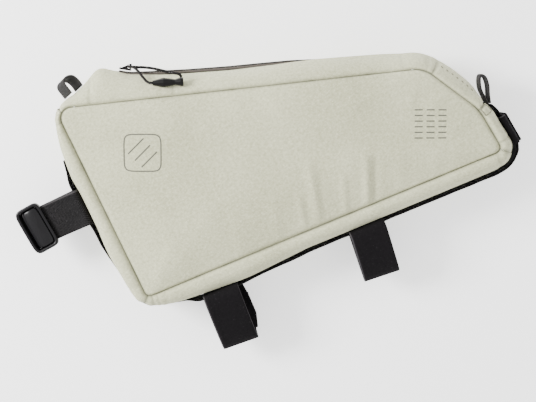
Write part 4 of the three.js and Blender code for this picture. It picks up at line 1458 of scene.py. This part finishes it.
@dataclass
class BuckleStrap:
    """Webbing strap through the keeper at the tall end, with its ladder-lock buckle."""

    item: Pass = BUCKLE_PASS
    reach: float = 41.0
    width: float = 39.0
    length: float = 22.0
    depth: float = 9.0
    lift: float = 3.0
    bar: float = 3.0
    turn: float = math.radians(4)
    wall: float = 3.0

    def webbing(self, seat: Seat) -> Pair:
        """The webbing's two faces: out under the bar, back over itself, and the lower run."""
        wall = self.item.wall
        bar = self.lift + self.depth / 2 - self.bar - GAP - wall / 2
        fold = wall + GAP
        rows = np.array([
            (0.5, bar - 2 * fold - 0.5), (0.86, bar - 2 * fold - 0.7), (1.1, bar - 2 * fold - 0.4),
            (1.21, bar - fold), (1.1, bar), (0.92, bar), (0.74, bar), (0.42, bar + 4),
            (0.18, bar + 9.6), (0.06, 15.8), (0, 12.4), (0, 0), (0, -12.4), (0.06, -15.8),
            (0.18, -14.4), (0.5, -9), (0.95, -6.2), (1.25, -5),
        ])
        line = np.stack([seat.under + wall / 2 + rows[:, 0] * self.reach, rows[:, 1]], -1)
        return bent_strip(line, wall, self.item.width, seat, 170)

    def rim(self) -> Pair:
        """The buckle's frame: a rounded section carried round a rounded rectangle.

        The path is a superellipse of power 7 through the middle of the frame's wall. The
        section is a superellipse too, and leans inwards towards its underside.

        Returns:
            Points about the buckle's middle in mm, and quads.
        """
        squareness, blunt, undercut = 7, 0.55, 1.1
        u = np.linspace(0, 2 * math.pi, 96, endpoint=False)
        v = np.linspace(0, 2 * math.pi, 16, endpoint=False) + math.pi / 4
        wall = self.wall
        path = superellipse(u, squareness) * [(self.length - wall) / 2, (self.width - wall) / 2]
        tangent = unit(np.roll(path, -1, 0) - np.roll(path, 1, 0))
        normal = np.stack([tangent[:, 1], -tangent[:, 0]], -1)
        off = blunted(np.cos(v), blunt) * wall / 2
        up = blunted(np.sin(v), blunt) * self.depth / 2
        off = off - undercut * np.clip(-up / self.depth, 0, 1)
        points = with_height(path[:, None] + normal[:, None] * off[:, None], up)
        return points.reshape(-1, 3), Mesher.ring_faces(len(u), len(v), True)

    def buckle(self, seat: Seat) -> Pair:
        """The buckle: its frame, the bar that the webbing turns on, a thumb plate and a tray.

        All but the frame are superellipsoids. The plate is lifted in its middle by a parabola
        along and one across, and has shallow ribs as a cosine.

        Args:
            seat: the strap's frame.

        Returns:
            Points in mm and quads.
        """
        long, top = self.length - 2 * self.wall, self.depth / 2
        wide = self.width - 2 * self.wall
        window, plate_wall, tray_wall, bitten, slit = 3.6, 3.4, 1.2, 0.4, 0.7
        lengthwise, crosswise, rib_height, rib_pitch, plain_edge = 1.3, 0.7, 0.1, 2.6, 1.6
        plate = long - window
        bar = Mesher.pillow((self.bar, wide + 0.6, self.bar), 0.5, 12)
        thumb = Mesher.pillow((plate, wide - 2 * slit, plate_wall), 0.3, 24, 48)
        tray = Mesher.pillow((long + bitten, wide + bitten, tray_wall), 0.3, 10)
        x, y, z = thumb[0].T
        crown = (lengthwise * (1 - (2 * x / plate) ** 2)
                 + crosswise * (1 - (2 * y / self.width) ** 2))
        ribbed = (np.abs(x) < plate / 2 - plain_edge) * (z > 0)
        thumb[0][:, 2] += crown + rib_height * np.cos(x * 2 * math.pi / rib_pitch) * ribbed
        places = ((bar, (self.length / 2 - self.wall - 3.4, 0, top - self.bar - 0.6)),
                  (thumb, (-1.6, 0, top - 2.9)), (tray, (0, 0, -top + 1.4)))
        blocks = [(points + place, faces) for (points, faces), place in places]
        p, f = Mesher.joined([self.rim(), *blocks])
        p[:, :2] = turned(p[:, :2], self.turn)
        p = p + [seat.under + self.item.wall / 2 + self.reach + self.length / 8, 0, self.lift]
        up = np.array([0.0, 0.0, 1.0])
        basis = np.stack([seat.across, np.cross(up, seat.across), up])
        return seat.origin + p @ basis, f

    def build(self, finishes: Finishes) -> None:
        """Makes the webbing and the buckle."""
        seat = self.item.seat()
        dress(Mesher.wall("buckle_webbing", *self.webbing(seat), sharp=70), finishes[WEBBING_CLOTH],
              "webbing", "buckle_strap")
        dress(Mesher.build("ladder_lock", *self.buckle(seat), sharp=60), finishes[BUCKLE_PLASTIC],
              "moulded", "buckle")


@dataclass
class Loops:
    """The pull tab over the zip's cap and the loop at the zip's narrow end."""

    wall: float = 1.6
    width: float = 14.0
    tab_point: Point = (8.578, 172.952, 28.5)
    tab_outward: Point = (-0.2655, 0.9641, 0.0)
    tab_turn: float = math.radians(38)
    tab_size: tuple[float, float] = (12.0, 12.5)
    tab_rows: Table = (
        (-0.5, 0), (-0.52, 0.45), (-0.4, 0.82), (-0.1, 0.99), (0.25, 0.98), (0.47, 0.78),
        (0.5, 0.4), (0.5, 0))
    loop_share: float = 0.93
    loop_clear: float = 1.4
    loop_outward: Point = (0.995, -0.1, 0.0)
    loop_size: tuple[float, float] = (24.5, 8.2)
    loop_rows: Table = (
        (0, 0), (0.26, -0.12), (0.54, -0.24), (0.82, -0.1), (0.965, 0.17), (0.84, 0.52),
        (0.56, 0.55), (0.28, 0.37), (0.0, 0.25))

    def strip(self, rows: Array, origin: Array, across: Array, up: Array) -> Pair:
        """A strap's two faces in a plane of any heading: see bent_strip."""
        flat = Seat(0, 0, np.zeros(3), np.array([1.0, 0, 0]))
        outer, inner = bent_strip(rows, self.wall, self.width, flat, 70)
        basis = np.stack([across, -np.cross(across, up), up])
        return origin + outer @ basis, origin + inner @ basis

    def build(self, finishes: Finishes) -> None:
        """Makes the tab and the loop."""
        look = finishes[NARROW_WEBBING]
        outward = np.array(self.tab_outward)
        along = np.array([-outward[1], outward[0], 0.0])
        c, s = math.cos(self.tab_turn), math.sin(self.tab_turn)
        across = along * c + np.cross(outward, along) * s
        rows = np.array(self.tab_rows) * self.tab_size
        tab = self.strip(rows, np.array(self.tab_point), across, outward)
        dress(Mesher.wall("tab_webbing", *tab, sharp=70), look, "webbing", "pull_tab")
        reach = np.array([RIGHT.reach(self.loop_share)])
        point, normal = SEAM.at(reach)
        foot = point[0] + normal[0] * (RIGHT.bulge(reach)[0] + self.loop_clear)
        ahead, aside, _ = self.loop_outward
        rows = np.array(self.loop_rows) * self.loop_size
        loop = self.strip(rows, np.array([*foot, MIDDLE]), np.array([-aside, ahead, 0]),
                          np.array(self.loop_outward))
        dress(Mesher.wall("loop_webbing", *loop, sharp=70), look, "webbing", "end_loop")


@dataclass
class Prints:
    """Two plain reflective prints on the front panel: a hatched tile and a block of short bars."""

    tile_at: tuple[float, float] = (43.0, 108.0)
    tile: float = 29.0
    hatches: int = 3
    hatch_pitch: float = 5.22
    hatch_half: float = 6.09
    bars_at: tuple[float, float] = (260.0, 42.0)
    bar: float = 6.4
    columns: int = 3
    rows: int = 6
    pitch: tuple[float, float] = (9.4, 4.4)
    turn: float = math.radians(-22.6)
    width: float = 0.95
    sunk: float = 0.02
    proud: float = 0.12

    def ribbon(self, path: Array, closed: bool = False) -> Pair:
        """Flat ribbon along a path, lying a little proud of the front panel.

        Args:
            path: points in mm, x and y.
            closed: True where the last point meets the first.

        Returns:
            Points and quads.
        """
        shell = Shell()
        round_it = np.roll(path, -1, 0) - np.roll(path, 1, 0)
        tangent = unit(round_it if closed else np.gradient(path, axis=0))
        normal = np.stack([-tangent[:, 1], tangent[:, 0]], -1) * self.width / 2
        flat = np.stack([path - normal, path + normal, path + normal, path - normal], 1)
        x, y = flat[..., 0], flat[..., 1]
        z = shell.front_height(x, y, shell.share(x, y))
        points = with_height(flat, z + np.array([self.sunk, self.sunk, self.proud, self.proud]))
        faces = Mesher.ring_faces(len(path), 4, closed)
        if not closed:
            last = 4 * (len(path) - 1)
            faces = np.vstack([faces, [[3, 2, 1, 0]], [[last, last + 1, last + 2, last + 3]]])
        return points.reshape(-1, 3), faces

    def build(self, finishes: Finishes) -> None:
        """Makes the tile's outline and hatches, and the rows of bars."""
        outline = superellipse(np.linspace(0, 2 * math.pi, 120, endpoint=False), 6) * self.tile / 2
        parts = [self.ribbon(turned(outline, self.turn) + self.tile_at, closed=True)]
        t = np.linspace(-1, 1, 24)[:, None]
        for k in range(self.hatches):
            off = (k - (self.hatches - 1) / 2) * self.hatch_pitch
            line = np.array([off, -off]) + t * self.hatch_half
            parts.append(self.ribbon(turned(line, self.turn) + self.tile_at))
        self.finish("print_tile", parts, finishes)
        parts = []
        t = np.linspace(-self.bar / 2, self.bar / 2, 8)
        for row in np.arange(self.rows) - (self.rows - 1) / 2:
            for column in np.arange(self.columns) - (self.columns - 1) / 2:
                y = np.full(len(t), row * self.pitch[1])
                line = np.stack([t + column * self.pitch[0], y], -1)
                parts.append(self.ribbon(turned(line, self.turn) + self.bars_at))
        self.finish("print_bars", parts, finishes)

    @staticmethod
    def finish(name: str, parts: list[Pair], finishes: Finishes) -> None:
        """Joins a print's ribbons and dresses them."""
        points, faces = Mesher.joined(parts)
        piece = Mesher.build(name, points, faces, uv=points[:, :2] / 1000)
        dress(piece, finishes[PRINT], "shell_fabric")


@dataclass
class Stitching:
    """Stitches on the front border: a row by the shoulder, and a square on the narrow end's strip.

    The row and the square are held as lengths along their runs, in mm, and shares across them.
    """

    radius: float = 0.5
    raised: float = 0.45
    row: Point = (12.0, 42.0, 0.6)
    count: int = 7
    step: tuple[float, float] = (1.56, 0.03)
    square: tuple[float, float, float, float] = (29.5, 36.0, 0.12, 0.75)
    per_side: int = 3
    drawn: tuple[float, float] = (0.1, 0.8)

    def stitch(self, run: Run, *ends: tuple[float, float]) -> Pair:
        """One stitch: a short tube between two places on a strip, raised by a parabola."""
        shell = Shell()
        first, _ = run.span
        start, end = (
            shell.strip(run, Side.FRONT, np.array([first + reach]), np.array([share]))[0][0, 0]
            for reach, share in ends)
        t = np.linspace(0, 1, 5)[:, None]
        path = start * (1 - t) + end * t
        path[:, 2] += (self.raised * (1 - (2 * t - 1) ** 2))[:, 0]
        p, f, _ = Mesher.tube_arrays(path, self.radius, 6)
        return p, f

    def build(self, finishes: Finishes) -> None:
        """Makes the row and the square of stitches."""
        start, end, share = self.row
        along, across = self.step
        parts = [self.stitch(TOP, (at, share), (at + along, share + across))
                 for at in np.linspace(start, end, self.count)]
        low, high, near, far = self.square
        for k in range(self.per_side):
            part = (k + np.array(self.drawn)) / self.per_side
            a, b = low + (high - low) * part
            c, d = near + (far - near) * part
            parts += [self.stitch(RIGHT, (a, edge), (b, edge)) for edge in (near, far)]
            parts += [self.stitch(RIGHT, (edge, c), (edge, d)) for edge in (low, high)]
        points, faces = Mesher.joined(parts)
        piece = Mesher.build("stitches", points, faces, uv=points[:, :2] / 1000, sharp=80)
        dress(piece, finishes[THREAD], "shell_fabric")


@dataclass
class Studio:
    """Camera at the photograph's angle, soft lights and a plain pale floor."""

    position: Point = (145.50, 137.74, 1034.2)
    target: Point = (118.60, 33.42, 40.0)
    up_turn: float = math.radians(22.58)
    focal: float = 1250.0
    width: int = 536
    sensor: float = 36.0
    floor: float = 6.0
    floor_tone: float = 0.97
    floor_glow: float = 0.9
    sky: float = 1.45

    def camera(self) -> None:
        """Puts the camera in place: it looks at the target, with its up turned about Z."""
        data = bpy.data.cameras.new("camera")
        data.sensor_width = self.sensor
        data.lens = self.focal / self.width * self.sensor
        data.clip_start, data.clip_end = 0.05, 20.0
        camera = placed("camera", data)
        eye, aim = Vector(to_frame(self.position)), Vector(to_frame(self.target))
        back = (eye - aim).normalized()
        up = Vector((math.sin(self.up_turn), math.cos(self.up_turn), 0.0))
        right = up.cross(back).normalized()
        up = back.cross(right)
        turn = Matrix((right, up, back)).transposed()
        camera.matrix_world = Matrix.Translation(eye) @ turn.to_4x4()
        bpy.context.scene.camera = camera

    def light(self, name: str, place: Point, size: float, watts: float) -> None:
        """A square soft light at a place, aimed at the bag."""
        data = bpy.data.lights.new(name, "AREA")
        data.shape, data.size, data.energy = "SQUARE", size, watts
        lamp = placed(name, data)
        lamp.location = place
        lamp.rotation_euler = Vector(place).to_track_quat("Z", "Y").to_euler()

    def build(self) -> None:
        """Makes the floor, the world and the lights."""
        mesh = bpy.data.meshes.new("floor")
        corners = np.array([(-1, -1, 0), (1, -1, 0), (1, 1, 0), (-1, 1, 0)]) * self.floor
        mesh.from_pydata(corners.tolist(), [], [(0, 1, 2, 3)])
        floor = placed("floor", mesh)
        material = bpy.data.materials.new("pale_floor")
        material.use_nodes = True
        white = (1, 1, 1, 1)
        for name, value in (("Base Color", (*[self.floor_tone] * 3, 1)), ("Roughness", 0.9),
                            ("Specular IOR Level", 0.1), ("Emission Color", white),
                            ("Emission Strength", self.floor_glow)):
            material.node_tree.nodes["Principled BSDF"].inputs[name].default_value = value
        mesh.materials.append(material)
        world = bpy.data.worlds.new("studio")
        world.use_nodes = True
        background = world.node_tree.nodes["Background"].inputs
        background["Color"].default_value = white
        background["Strength"].default_value = self.sky
        bpy.context.scene.world = world
        self.light("key", (-0.95, 0.75, 0.85), 0.5, 46.0)
        self.light("fill", (1.0, -0.6, 1.2), 1.2, 4.0)


def main() -> None:
    """Builds the camera and the cord first, then each sub-assembly in order."""
    logging.basicConfig(level=logging.INFO, format="%(name)s: %(message)s")
    studio = Studio()
    studio.camera()
    finishes = Finishes()
    closure = Zip()
    closure.make_cord(finishes)
    straps = (HookStrap("strap_1", STRAP_1, reach=49.0, skew=-2.2, back=-3.6, lean=0.05),
              HookStrap("strap_2", STRAP_2), EndStrap(), BuckleStrap())
    for part in (Shell(), Sides(), closure, *straps, Loops(), Prints(), Stitching()):
        LOG.info("building %s", type(part).__name__)
        part.build(finishes)
    studio.build()


if __name__ == "__main__":
    main()
